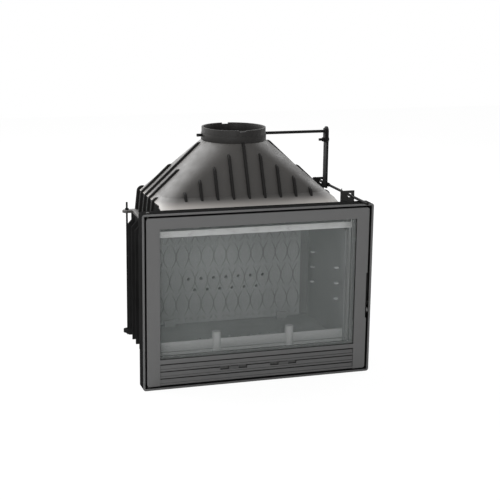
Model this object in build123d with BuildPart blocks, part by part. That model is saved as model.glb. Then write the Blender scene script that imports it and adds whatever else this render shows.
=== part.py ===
from build123d import *
import math
import os

os.makedirs("parts", exist_ok=True)

# Cast-iron fireplace insert with a ribbed smoke hood.
# Millimetres, +Z up, the viewer stands at -Y.  A "depth" is measured back from the casing's front edge.

# ---------------------------------------------------------------- casing (the shallow frame round the door)
casing_width = 700
casing_height = 520
casing_depth = 46
rim_wall = 6
back_wall = 6
casing_corner = 8
air_port_low = 8
air_port_top_gap = 6

# ---------------------------------------------------------------- door
side_gap = 6
top_gap = 6
bottom_gap = 4
door_face_depth = 2
door_thickness = 22
door_corner = 8
door_edge_round = 1.5
stile_width = 39
top_rail = 33
glass_sill = 89
glass_thickness = 4
reveal_depth = 7
tape_thickness = 1.2
glass_lap = 7
glass_pocket_gap = 1
seal_size = 8
seal_inset = 12
seal_above_rail = 9
seal_top_inset = 16
seal_gap = 0.3
clip_lap = 7
clip_foot = 12
clip_width = 16
clip_metal = 2
clip_screw_radius = 3.5
clip_screw_height = 2.5
clip_end_inset = 70

# ---------------------------------------------------------------- louvre band and air registers
louvre_below_glass = 13
louvre_depth = 8
louvre_count = 3
louvre_pitch = 21.3
louvre_skin = 2
louvre_gap = 0.5
louvre_face_setback = 2
louvre_lip_height = 7
louvre_lip_slope = 1.5
louvre_groove = 2.2
window_low = 43.5
window_height = 9.5
window_width = 82
register_offset = 77
slide_metal = 2
slide_low = 37
slide_height = 22
slide_length = 104
slide_gap = 0.4
tab_width = 30
tab_height = 8
tab_corner = 1
tab_front_depth = 3
rail_low = 24
rail_high = 62
air_plate_metal = 2
guide_height = 3
air_hole_count = 3
air_slot_width = 11
air_slot_height = 12
air_slot_pitch = 14
air_slot_start = 39

# ---------------------------------------------------------------- hinge, latch and catch
hinge_inset = 6
hinge_depth = 8
hinge_pin_radius = 3
hinge_pin_grip = 14
hinge_head_radius = 5
hinge_head_height = 5
hinge_head_chamfer = 1
hinge_bore_spare = 1
fixed_gap = 0.05
running_gap = 0.1
latch_height = 216
latch_depth = 12
latch_plate = 7
latch_recess = 4
latch_recess_below = 48
latch_recess_above = 92
latch_gap = 0.3
latch_hub_radius = 9
latch_arm_length = 88
latch_arm_width = 9
latch_grip_width = 14
latch_grip_length = 62
latch_grip_round = 6
latch_hook_angle = 60
latch_nose_reach = 15
latch_pin_radius = 3
latch_pin_grip = 18
latch_head_radius = 5
latch_head_height = 1.5
stud_radius = 9
stud_width = 4.5
stud_setback = 2
stud_shank_radius = 3
nose_gap = 1

# ---------------------------------------------------------------- firebox body
body_side_inset = 51
body_rear_depth = 386
body_top_drop = 70
body_wall = 7
base_low = 64
base_thickness = 10
fin_reach = 15
fin_thickness = 6
fin_first_gap = 46
fin_last_inset = 44
fin_count = 6
fin_foot_gap = 2
fin_top_gap = 6
fin_tip_drop = 22
rear_fin_reach = 12
rear_fin_count = 9
front_flange = 16
front_flange_metal = 6
front_bolt_radius = 3
front_bolt_head = 5
front_bolt_head_height = 3
front_bolt_inset = 46
lug_radius = 14
lug_offset = 15
lug_inset = 7
tie_rod_radius = 3
tie_rod_above = 24
tie_rod_below = 3
tie_nut_height = 5
tie_nut_radius = 6

# ---------------------------------------------------------------- smoke hood
hood_wall = 8
hood_flange = 8
hood_foot_inset = 18
hood_draft = 7
hood_skirt_height = 69
hood_ledge_drop = 11
hood_ledge_length = 69
hood_slope_height = 163
hood_front_corner = 44
hood_rear_corner = 10
hood_flare_radius = 25
blend_facets = 6
rib_reach = 10
rib_thickness = 7
rib_end_drop = 12
rib_end_gap = 1
rib_knee_radius = 22
front_rib_count = 9
front_rib_overrun = 8
front_rib_inset = 44
side_rib_count = 5
side_rib_pad_gap = 59
side_rib_rear_gap = 1
side_rib_inset = 8
pad_proud = 3
pad_foot_gap = 12
pad_height = 38
pad_depth = 28
pad_margin = 3

# ---------------------------------------------------------------- flue collar and damper
collar_rear_distance = 101
collar_radius = 98
collar_wall = 6
collar_height = 38
collar_shoulder = 1.5
collar_shoulder_height = 20
notch_width = 20
notch_depth = 4
shaft_height = 15
shaft_radius = 4.5
shaft_stub = 18
flap_gap = 5
flap_thickness = 5
flap_tilt = 10
flap_hub_radius = 8
flap_hub_length = 150
flap_screw_radius = 2.5
flap_screw_height = 5
flap_screw_offset = 60
lever_from_pad = 19
lever_plate = 6
lever_width = 30
lever_above_shaft = 15
lever_below_rod = 9
clamp_thickness = 4
clamp_width = 20
clamp_above = 8
clamp_below = 34
bolt_drop = 26
bolt_radius = 4
bolt_head_radius = 7
bolt_head_height = 5
nut_height = 6
bolt_tip = 11

# ---------------------------------------------------------------- damper control rod
rod_radius = 4
rod_from_lever = 10
rod_above_knee = 8
rod_front_reach = 38
rod_rear_reach = 19
rod_end_chamfer = 1
pivot_ring_radius = 6
pivot_ring_width = 12
pivot_boss_radius = 4
pivot_gap = 0.5
stop_travel = 60
stop_gap = 0.8
stop_radius = 1.2
stop_length = 17
bracket_metal = 4
bracket_rear_gap = 9
bracket_front_gap = 57
bracket_rear_reach = 9
bracket_front_reach = 15
bracket_root = 12
bracket_above_rod = 14
bracket_rear_drop = 36
bracket_front_drop = 24
bracket_hole_gap = 2.5
bracket_foot = 22
bracket_screw_inset = 13
screw_radius = 2.5
screw_head_radius = 5
screw_head_height = 4

# ---------------------------------------------------------------- inside the firebox
lining_thickness = 5
lining_top_gap = 20
lining_front_gap = 14
rack_reach = 8
rack_length = 36
rack_thickness = 6
rack_rise = 123
rack_pitch = 49
rack_rows = 3
rack_front_inset = 50
rack_rear_gap = 32
hearth_thickness = 6
hearth_gap = 1
slot_length = 130
slot_width = 12
slot_pitch = 32
slot_count = 9
slot_fence_gap = 17
fireback_side_gap = 42
fireback_rear_gap = 27
fireback_foot_gap = 5
fireback_plate = 9
vent_radius = 6
vent_pitch = 41
vent_count = 7
vent_rise = 112
vent_row_gap = 37
boss_radius = 12
boss_inset = 50
foot_inset = 63
foot_width = 34
foot_height = 22
foot_thickness = 12
baffle_thickness = 8
baffle_throat = 104
strip_drop = 9
strip_height = 18
strip_metal = 3
fence_gap = 14
fence_thickness = 8
fence_height = 42
fence_end_gap = 2
fence_groove_low = 12
fence_groove_width = 3
fence_groove = 1.5
post_offset = 114
post_radius = 13
post_height = 65
post_chamfer = 2
post_slot_gap = 0.3
air_box_side_gap = 52
air_box_rear_inset = 36
air_box_wall = 3

# ---------------------------------------------------------------- places worked out from the sizes above
front_y = (rod_front_reach - rod_rear_reach - body_rear_depth) / 2
casing_half = casing_width / 2
casing_inner_half = casing_half - rim_wall
casing_back_depth = casing_depth - back_wall
door_half = casing_inner_half - side_gap
door_low = rim_wall + bottom_gap
door_high = casing_height - rim_wall - top_gap
door_back_depth = door_face_depth + door_thickness
glass_half = door_half - stile_width
glass_head = door_high - top_rail
glass_middle = (glass_sill + glass_head) / 2
tape_depth = door_face_depth + reveal_depth
glass_depth = tape_depth + tape_thickness
glass_back = glass_depth + glass_thickness
pocket_half = glass_half + glass_lap + glass_pocket_gap
pocket_low = glass_sill - glass_lap - glass_pocket_gap
pocket_high = glass_head + glass_lap + glass_pocket_gap
seal_half = door_half - seal_inset
seal_low = rail_high + seal_above_rail
seal_high = door_high - seal_top_inset
seal_middle = (seal_low + seal_high) / 2
louvre_top = glass_sill - louvre_below_glass
louvre_back_depth = door_face_depth + louvre_depth
hinge_x = -(door_half - hinge_inset)
latch_recess_low = latch_height - latch_recess_below
latch_recess_high = latch_height + latch_recess_above
stud_height = latch_height - stud_radius - nose_gap - latch_nose_reach
body_half_width = casing_half - body_side_inset
body_top = casing_height - body_top_drop
body_inner_half = body_half_width - body_wall
rear_inner_depth = body_rear_depth - body_wall
base_top = base_low + base_thickness
hearth_top = base_top + hearth_thickness
air_port_high = base_low - air_port_top_gap
front_bolt_low = base_top + front_bolt_inset
front_bolt_high = body_top - front_bolt_inset
front_bolt_heights = (front_bolt_low, (front_bolt_low + front_bolt_high) / 2, front_bolt_high)
fin_low = base_low + fin_foot_gap
fin_high = body_top - fin_top_gap
fin_first_depth = casing_depth + fin_first_gap
fin_pitch = (body_rear_depth - fin_last_inset - fin_first_depth) / (fin_count - 1)
lug_x = body_half_width + lug_offset
lug_depth = body_rear_depth - lug_inset
hood_foot_half_width = body_half_width - hood_foot_inset
hood_knee_half_width = hood_foot_half_width - hood_draft
hood_knee_height = body_top + hood_skirt_height
hood_ledge_height = hood_knee_height - hood_ledge_drop
hood_top_height = hood_knee_height + hood_slope_height
hood_front_depth = casing_depth + hood_ledge_length
hood_rear_depth = body_rear_depth
collar_depth = body_rear_depth - collar_rear_distance
front_rib_base = hood_knee_half_width - hood_front_corner + front_rib_overrun
front_rib_pitch = 2 * (front_rib_base - front_rib_inset) / (front_rib_count - 1)
bracket_front_depth = casing_depth + bracket_front_gap
side_rib_first = bracket_front_depth - bracket_metal / 2 - pad_margin + pad_depth + side_rib_pad_gap
side_rib_last = hood_rear_depth - side_rib_rear_gap
side_rib_pitch = (side_rib_last - side_rib_first) / (side_rib_count - 1)
side_rib_front_span = collar_depth - side_rib_first + side_rib_inset
side_rib_rear_span = side_rib_last - collar_depth + side_rib_inset
pad_half_width = hood_foot_half_width + pad_proud
pad_low = body_top + pad_foot_gap
pad_high = pad_low + pad_height
shaft_z = hood_top_height + shaft_height
collar_top = hood_top_height + collar_height
collar_bore = collar_radius - collar_wall
lever_x = pad_half_width + lever_from_pad
lever_left = lever_x - lever_plate / 2
lever_right = lever_x + lever_plate / 2
bolt_z = shaft_z - bolt_drop
front_bolt_x = body_half_width + front_flange / 2
rod_x = lever_x + rod_from_lever
rod_height = hood_knee_height + rod_above_knee
rod_rear_depth = body_rear_depth + rod_rear_reach
bracket_rear_depth = side_rib_last - side_rib_pitch + bracket_rear_gap
stop_depth = bracket_front_depth + bracket_metal / 2 + stop_travel + stop_gap + stop_radius
lining_top = body_top - lining_top_gap
lining_front_depth = casing_depth + lining_front_gap
fireback_half_width = body_inner_half - fireback_side_gap
fireback_front_depth = rear_inner_depth - fireback_rear_gap
fireback_low = hearth_top + fireback_foot_gap
rack_depths = (lining_front_depth + rack_front_inset, fireback_front_depth - rack_rear_gap)
fence_depth = casing_depth + fence_gap
slot_field_depth = fence_depth + fence_thickness + slot_fence_gap + slot_length / 2
air_box_half_width = body_inner_half - air_box_side_gap
air_box_rear_depth = body_rear_depth - air_box_rear_inset


def y_at(depth):
    """Y of a point that lies `depth` behind the casing's front edge."""
    return front_y + depth


def upright(depth):
    """A plane that faces the viewer: sketch x is X, sketch y is Z, and a positive extrude comes forward."""
    return Plane(origin=(0, y_at(depth), 0), x_dir=(1, 0, 0), z_dir=(0, -1, 0))


def profile_at(x):
    """A plane seen from the right: sketch x is Y, sketch y is Z, and a positive extrude goes to +X."""
    return Plane(origin=(x, 0, 0), x_dir=(0, 1, 0), z_dir=(1, 0, 0))


def middle(low, high):
    """Halfway between two values."""
    return (low + high) / 2


def crosswise(x, depth, z):
    """A place whose own Z axis points along +X, for pins and holes that run across the stove."""
    return Location((x, y_at(depth), z), (0, 90, 0))


def lengthwise(x, depth, z):
    """A place whose own Z axis points along +Y, for screws and rods that run front to back."""
    return Location((x, y_at(depth), z), (-90, 0, 0))


def save(piece, name):
    """Name a finished piece and write it."""
    piece.part.label = name
    export_step(piece.part, f"parts/{name}.step")


START = (Align.CENTER, Align.CENTER, Align.MIN)

# ================================================================ casing
opening_low = glass_sill - 2
opening_high = glass_head - 1

with BuildPart() as casing_flange:
    with BuildSketch(upright(casing_depth)):
        with Locations((0, casing_height / 2)):
            RectangleRounded(casing_width, casing_height, casing_corner)
    extrude(amount=casing_depth)
    with BuildSketch(upright(casing_back_depth)):
        with Locations((0, casing_height / 2)):
            RectangleRounded(2 * casing_inner_half, casing_height - 2 * rim_wall, casing_corner - rim_wall)
    extrude(amount=casing_back_depth, mode=Mode.SUBTRACT)
    # the raised rib that the door's rope seal closes on
    with BuildSketch(upright(casing_back_depth)):
        with Locations((0, seal_middle)):
            Rectangle(2 * seal_half + seal_size, seal_high - seal_low + seal_size)
            Rectangle(2 * seal_half - seal_size, seal_high - seal_low - seal_size, mode=Mode.SUBTRACT)
    extrude(amount=casing_back_depth - door_back_depth - seal_size - seal_gap)
    with BuildSketch(upright(casing_depth)):
        with Locations((0, middle(opening_low, opening_high))):
            Rectangle(2 * body_half_width, opening_high - opening_low)
        with Locations((0, middle(air_port_low, air_port_high))):
            Rectangle(2 * (air_box_half_width - air_box_wall), air_port_high - air_port_low)
    extrude(amount=casing_depth, mode=Mode.SUBTRACT)
    with Locations((hinge_x, y_at(hinge_depth), 0), (hinge_x, y_at(hinge_depth), casing_height - rim_wall)):
        Cylinder(hinge_pin_radius + fixed_gap, rim_wall, align=START, mode=Mode.SUBTRACT)
    with Locations(crosswise(casing_inner_half, latch_depth + stud_setback, stud_height)):
        Cylinder(stud_shank_radius + fixed_gap, rim_wall, align=START, mode=Mode.SUBTRACT)
    for side in (-1, 1):
        for height in front_bolt_heights:
            with Locations(lengthwise(side * front_bolt_x, casing_back_depth, height)):
                Cylinder(front_bolt_radius + fixed_gap, back_wall, align=START, mode=Mode.SUBTRACT)
save(casing_flange, "casing_flange")

# the top pin drops through the rim from its head; the bottom pin carries the door on a shoulder
with BuildPart() as hinge_pin_top:
    with Locations((hinge_x, y_at(hinge_depth), door_high - hinge_pin_grip)):
        Cylinder(hinge_pin_radius, hinge_pin_grip + top_gap + rim_wall, align=START)
    with Locations((hinge_x, y_at(hinge_depth), casing_height)):
        Cylinder(hinge_head_radius, hinge_head_height, align=START)
    chamfer(hinge_pin_top.faces().sort_by(Axis.Z)[-1].edges(), hinge_head_chamfer)
save(hinge_pin_top, "hinge_pin_top")

with BuildPart() as hinge_pin_bottom:
    with Locations((hinge_x, y_at(hinge_depth), 0)):
        Cylinder(hinge_pin_radius, door_low + hinge_pin_grip, align=START)
    with Locations((hinge_x, y_at(hinge_depth), rim_wall)):
        Cylinder(hinge_head_radius, bottom_gap - seal_gap, align=START)
save(hinge_pin_bottom, "hinge_pin_bottom")

with BuildPart() as catch_stud:
    with Locations(crosswise(casing_inner_half - stud_width, latch_depth + stud_setback, stud_height)):
        Cylinder(stud_radius, stud_width, align=START)
        Cylinder(stud_shank_radius, stud_width + rim_wall, align=START)
save(catch_stud, "catch_stud")

# ================================================================ door
with BuildPart() as door_frame:
    with BuildSketch(upright(door_back_depth)):
        with Locations((0, middle(door_low, door_high))):
            RectangleRounded(2 * door_half, door_high - door_low, door_corner)
    extrude(amount=door_thickness)
    fillet(door_frame.faces().sort_by(Axis.Y)[0].edges(), door_edge_round)
    with BuildSketch(upright(door_back_depth)):
        with Locations((0, glass_middle)):
            Rectangle(2 * glass_half, glass_head - glass_sill)
    extrude(amount=door_thickness, mode=Mode.SUBTRACT)
    # behind the glass opening a wider pocket, and below it the air opening between two cross rails
    with BuildSketch(upright(door_back_depth)):
        with Locations((0, middle(pocket_low, pocket_high))):
            Rectangle(2 * pocket_half, pocket_high - pocket_low)
    extrude(amount=door_back_depth - tape_depth, mode=Mode.SUBTRACT)
    with BuildSketch(upright(door_back_depth)):
        with Locations((0, middle(rail_low, rail_high))):
            Rectangle(2 * glass_half, rail_high - rail_low)
    extrude(amount=door_thickness, mode=Mode.SUBTRACT)
    with BuildSketch(upright(louvre_back_depth)):
        with Locations((0, louvre_top)):
            Rectangle(2 * glass_half, louvre_top - door_low, align=(Align.CENTER, Align.MAX))
    extrude(amount=louvre_depth, mode=Mode.SUBTRACT)
    # the recess in the free edge that takes the latch lever
    with BuildSketch(upright(door_back_depth)):
        with Locations((door_half, middle(latch_recess_low, latch_recess_high))):
            Rectangle(latch_recess, latch_recess_high - latch_recess_low, align=(Align.MAX, Align.CENTER))
    extrude(amount=door_thickness, mode=Mode.SUBTRACT)
    with Locations((hinge_x, y_at(hinge_depth), door_low), (hinge_x, y_at(hinge_depth), door_high)):
        Cylinder(hinge_pin_radius + running_gap, 2 * (hinge_pin_grip + hinge_bore_spare), mode=Mode.SUBTRACT)
    with Locations(crosswise(door_half - latch_recess - latch_pin_grip, latch_depth, latch_height)):
        Cylinder(latch_pin_radius + fixed_gap, latch_pin_grip, align=START, mode=Mode.SUBTRACT)
save(door_frame, "door_frame")

with BuildPart() as glass_gasket:
    with BuildSketch(upright(glass_depth)):
        with Locations((0, glass_middle)):
            Rectangle(2 * (glass_half + glass_lap), glass_head - glass_sill + 2 * glass_lap)
            Rectangle(2 * glass_half, glass_head - glass_sill, mode=Mode.SUBTRACT)
    extrude(amount=tape_thickness)
save(glass_gasket, "glass_gasket")

with BuildPart() as door_glass:
    with BuildSketch(upright(glass_back)):
        with Locations((0, glass_middle)):
            Rectangle(2 * (glass_half + glass_lap), glass_head - glass_sill + 2 * glass_lap)
    extrude(amount=glass_thickness)
save(door_glass, "door_glass")

# Z-shaped clips: a toe on the glass, a riser beside the pocket wall and a foot on the back of the frame
clip_heights = (pocket_low + clip_end_inset, glass_middle, pocket_high - clip_end_inset)

with BuildPart() as glass_clips:
    for side in (-1, 1):
        wall = side * (pocket_half - glass_pocket_gap / 2)
        for height in clip_heights:
            with BuildSketch(Plane.XY.offset(height - clip_width / 2)):
                with BuildLine():
                    Polyline(
                        (wall - side * clip_lap, y_at(glass_back)),
                        (wall, y_at(glass_back)),
                        (wall, y_at(door_back_depth)),
                        (wall + side * clip_foot, y_at(door_back_depth)),
                        (wall + side * clip_foot, y_at(door_back_depth + clip_metal)),
                        (wall - side * clip_metal, y_at(door_back_depth + clip_metal)),
                        (wall - side * clip_metal, y_at(glass_back + clip_metal)),
                        (wall - side * clip_lap, y_at(glass_back + clip_metal)),
                        close=True,
                    )
                make_face()
            extrude(amount=clip_width)
save(glass_clips, "glass_clips")

with BuildPart() as clip_screws:
    for side in (-1, 1):
        for height in clip_heights:
            with BuildSketch(upright(door_back_depth + clip_metal)):
                with Locations((side * (pocket_half + clip_foot / 2), height)):
                    RegularPolygon(clip_screw_radius, 6)
            extrude(amount=-clip_screw_height)
save(clip_screws, "clip_screws")

with BuildPart() as door_seal:
    with BuildSketch(upright(door_back_depth + seal_size)):
        with Locations((0, seal_middle)):
            RectangleRounded(2 * seal_half + seal_size, seal_high - seal_low + seal_size, seal_size)
            Rectangle(2 * seal_half - seal_size, seal_high - seal_low - seal_size, mode=Mode.SUBTRACT)
    extrude(amount=seal_size)
save(door_seal, "door_seal")

# ---------------------------------------------------------------- louvre band
# each slat has a groove above it, an upright face, and a lip that leans out to its lower edge
with BuildPart() as louvre_panel:
    with BuildSketch(profile_at(-(glass_half - louvre_gap))):
        with BuildLine():
            groove_y = y_at(louvre_back_depth - louvre_skin)
            face_y = y_at(door_face_depth + louvre_face_setback)
            lip_y = y_at(door_face_depth)
            corners = [(y_at(louvre_back_depth), louvre_top - louvre_gap)]
            for index in range(louvre_count):
                top = louvre_top - louvre_gap - index * louvre_pitch
                bottom = top - louvre_pitch
                corners += [
                    (groove_y, top),
                    (groove_y, top - louvre_groove),
                    (face_y, top - louvre_groove),
                    (face_y, bottom + louvre_lip_height),
                    (lip_y, bottom + louvre_lip_height - louvre_lip_slope),
                    (lip_y, bottom),
                ]
            corners.append((y_at(louvre_back_depth), bottom))
            Polyline(*corners, close=True)
        make_face()
    extrude(amount=2 * (glass_half - louvre_gap))
    with BuildSketch(upright(louvre_back_depth)):
        with Locations((-register_offset, window_low), (register_offset, window_low)):
            Rectangle(window_width, window_height, align=(Align.CENTER, Align.MIN))
    extrude(amount=louvre_depth, mode=Mode.SUBTRACT)
save(louvre_panel, "louvre_panel")

# the air plate stands behind the louvre band; two guide rails on it hold the register slides
slide_front_depth = louvre_back_depth + slide_gap
air_plate_depth = slide_front_depth + slide_metal + slide_gap
guide_low = slide_low - slide_gap
guide_high = slide_low + slide_height + slide_gap

with BuildPart() as air_plate:
    with BuildSketch(upright(air_plate_depth + air_plate_metal)):
        with Locations((0, middle(rail_low, rail_high))):
            Rectangle(2 * (glass_half - louvre_gap), rail_high - rail_low - 2 * louvre_gap)
        for side in (-1, 1):
            for index in range(air_hole_count):
                x = side * register_offset + air_slot_start + index * air_slot_pitch
                with Locations((x, slide_low + slide_height / 2)):
                    Rectangle(air_slot_width, air_slot_height, mode=Mode.SUBTRACT)
    extrude(amount=air_plate_metal)
    with BuildSketch(upright(air_plate_depth)):
        with Locations((0, guide_low)):
            Rectangle(2 * (glass_half - louvre_gap), guide_height, align=(Align.CENTER, Align.MAX))
        with Locations((0, guide_high)):
            Rectangle(2 * (glass_half - louvre_gap), rail_high - louvre_gap - guide_high,
                      align=(Align.CENTER, Align.MIN))
    extrude(amount=air_plate_depth - louvre_back_depth)
save(air_plate, "air_plate")

for side, side_name in ((-1, "left"), (1, "right")):
    with BuildPart() as air_slide:
        with BuildSketch(upright(slide_front_depth + slide_metal)):
            with Locations((side * register_offset, slide_low)):
                Rectangle(slide_length, slide_height, align=(Align.CENTER, Align.MIN))
        extrude(amount=slide_metal)
        with BuildSketch(upright(slide_front_depth)):
            with Locations((side * register_offset, window_low + window_height / 2)):
                RectangleRounded(tab_width, tab_height, tab_corner)
        extrude(amount=slide_front_depth - tab_front_depth)
    save(air_slide, f"air_slide_{side_name}")

# ---------------------------------------------------------------- latch
latch_inner_x = door_half - latch_recess + latch_gap
latch_outer_x = latch_inner_x + latch_plate

with BuildPart() as latch_lever:
    with BuildSketch(profile_at(latch_inner_x)):
        with Locations((y_at(latch_depth), latch_height)):
            Circle(latch_hub_radius)
            Rectangle(latch_arm_width, latch_arm_length, align=(Align.CENTER, Align.MIN))
        with Locations((y_at(latch_depth), latch_height + latch_arm_length)):
            RectangleRounded(latch_grip_width, latch_grip_length, latch_grip_round,
                             align=(Align.CENTER, Align.MAX))
        # the hook below the pivot is cut back, so that it stops just short of the catch stud
        with BuildLine():
            hook = CenterArc((y_at(latch_depth), latch_height), latch_nose_reach, -90, latch_hook_angle)
            Line(hook @ 1, (y_at(latch_depth), latch_height))
            Line((y_at(latch_depth), latch_height), hook @ 0)
        make_face()
    extrude(amount=latch_plate)
    with Locations(crosswise(latch_inner_x, latch_depth, latch_height)):
        Cylinder(latch_pin_radius + running_gap, latch_plate, align=START, mode=Mode.SUBTRACT)
save(latch_lever, "latch_lever")

with BuildPart() as latch_pin:
    with Locations(crosswise(door_half - latch_recess - latch_pin_grip, latch_depth, latch_height)):
        Cylinder(latch_pin_radius, latch_pin_grip + 2 * latch_gap + latch_plate, align=START)
    with Locations(crosswise(latch_outer_x + latch_gap, latch_depth, latch_height)):
        Cylinder(latch_head_radius, latch_head_height, align=START)
save(latch_pin, "latch_pin")

# ================================================================ firebox body
def plate_with_ears(low):
    """The outline of a plate as large as the body, with two rear ears that are drilled for the tie rods."""
    with BuildSketch(Plane.XY.offset(low)) as outline:
        with Locations((0, y_at(middle(casing_depth, body_rear_depth)))):
            Rectangle(2 * body_half_width, body_rear_depth - casing_depth)
        with Locations((0, y_at(lug_depth))):
            SlotCenterToCenter(2 * lug_x, 2 * lug_radius)
        with Locations((-lug_x, y_at(lug_depth)), (lug_x, y_at(lug_depth))):
            Circle(tie_rod_radius + fixed_gap, mode=Mode.SUBTRACT)
    return outline.sketch


with BuildPart() as base_plate:
    extrude(plate_with_ears(base_low), amount=base_thickness)
    with BuildSketch(Plane.XY.offset(base_low)):
        with Locations((0, y_at(slot_field_depth))):
            Rectangle(slot_count * slot_pitch + slot_width, slot_length)
    extrude(amount=base_thickness, mode=Mode.SUBTRACT)
save(base_plate, "base_plate")


def finned_side(side):
    """A side wall with a front flange and upright fins that taper off at their tops."""
    with BuildPart() as wall:
        with BuildSketch(profile_at(side * middle(body_inner_half, body_half_width))):
            with Locations((y_at(middle(casing_depth, body_rear_depth)), middle(base_top, body_top))):
                Rectangle(body_rear_depth - casing_depth, body_top - base_top)
        extrude(amount=body_wall / 2, both=True)
        with BuildSketch(upright(casing_depth + front_flange_metal)):
            with Locations((side * body_half_width, middle(base_top, body_top))):
                Rectangle(front_flange, body_top - base_top,
                          align=(Align.MIN if side > 0 else Align.MAX, Align.CENTER))
        extrude(amount=front_flange_metal)
        for height in front_bolt_heights:
            with Locations(lengthwise(side * front_bolt_x, casing_depth, height)):
                Cylinder(front_bolt_radius + fixed_gap, front_flange_metal, align=START, mode=Mode.SUBTRACT)
        for index in range(fin_count):
            with BuildSketch(upright(fin_first_depth + index * fin_pitch)):
                with BuildLine():
                    Polyline(
                        (side * body_half_width, fin_low),
                        (side * (body_half_width + fin_reach), fin_low),
                        (side * (body_half_width + fin_reach), fin_high - fin_tip_drop),
                        (side * body_half_width, fin_high),
                        close=True,
                    )
                make_face()
            extrude(amount=fin_thickness / 2, both=True)
    return wall


left_side_plate = finned_side(-1)
save(left_side_plate, "left_side_plate")
right_side_plate = finned_side(1)
save(right_side_plate, "right_side_plate")

with BuildPart() as rear_plate:
    with BuildSketch(upright(body_rear_depth)):
        with Locations((0, middle(base_top, body_top))):
            Rectangle(2 * body_inner_half, body_top - base_top)
    extrude(amount=body_wall)
    rear_fin_pitch = 2 * body_inner_half / rear_fin_count
    for index in range(rear_fin_count):
        with BuildSketch(profile_at((index - (rear_fin_count - 1) / 2) * rear_fin_pitch)):
            with BuildLine():
                Polyline(
                    (y_at(body_rear_depth), base_top),
                    (y_at(body_rear_depth + rear_fin_reach), base_top),
                    (y_at(body_rear_depth + rear_fin_reach), fin_high - fin_tip_drop),
                    (y_at(body_rear_depth), fin_high),
                    close=True,
                )
            make_face()
        extrude(amount=fin_thickness / 2, both=True)
save(rear_plate, "rear_plate")

with BuildPart() as front_bolts:
    for side in (-1, 1):
        for height in front_bolt_heights:
            with BuildSketch(upright(casing_back_depth)):
                with Locations((side * front_bolt_x, height)):
                    RegularPolygon(front_bolt_head, 6)
            extrude(amount=front_bolt_head_height)
            with Locations(lengthwise(side * front_bolt_x, casing_back_depth, height)):
                Cylinder(front_bolt_radius, back_wall + front_flange_metal, align=START)
save(front_bolts, "front_bolts")

with BuildPart() as tie_rods:
    rod_low = base_low - tie_nut_height - tie_rod_below
    rod_high = body_top + hood_flange + tie_rod_above
    for side in (-1, 1):
        with Locations((side * lug_x, y_at(lug_depth), rod_low)):
            Cylinder(tie_rod_radius, rod_high - rod_low, align=START)
save(tie_rods, "tie_rods")

with BuildPart() as tie_nuts:
    for side in (-1, 1):
        for height in (base_low - tie_nut_height, body_top + hood_flange):
            with BuildSketch(Plane.XY.offset(height)):
                with Locations((side * lug_x, y_at(lug_depth))):
                    RegularPolygon(tie_nut_radius, 6)
                    Circle(tie_rod_radius + fixed_gap, mode=Mode.SUBTRACT)
            extrude(amount=tie_nut_height)
save(tie_nuts, "tie_nuts")

# ================================================================ smoke hood
hood_rise = hood_top_height - hood_knee_height


def corner_ring(half, front, rear, front_round, rear_round, height):
    """Points round a rectangle with rounded corners, seen from above; each corner has equal facets."""
    points = []
    for side, end, radius, start in (
        (1, -1, front_round, -90),
        (1, 1, rear_round, 0),
        (-1, 1, rear_round, 90),
        (-1, -1, front_round, 180),
    ):
        centre_x = side * (half - radius)
        centre_y = y_at(front) + radius if end < 0 else y_at(rear) - radius
        for step in range(blend_facets + 1):
            angle = math.radians(start + 90 * step / blend_facets)
            points.append((centre_x + radius * math.cos(angle), centre_y + radius * math.sin(angle), height))
    return points


def knee_ring(inset, height):
    """The hood's outline at the knee, moved inwards by an inset."""
    return corner_ring(
        hood_knee_half_width - inset,
        hood_front_depth + inset,
        hood_rear_depth - inset,
        hood_front_corner - inset,
        hood_rear_corner - inset,
        height,
    )


def collar_ring(radius, height):
    """A circle with the same facets, about the collar's axis."""
    return corner_ring(radius, collar_depth - radius, collar_depth + radius, radius, radius, height)


def front_slope(z):
    """Depth of the hood's front face at a height."""
    share = (z - hood_knee_height) / hood_rise
    return hood_front_depth + share * (collar_depth - collar_radius - hood_front_depth)


def side_slope(z):
    """Half width of the hood at a height above the knee."""
    share = (z - hood_knee_height) / hood_rise
    return hood_knee_half_width + share * (collar_radius - hood_knee_half_width)


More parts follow.
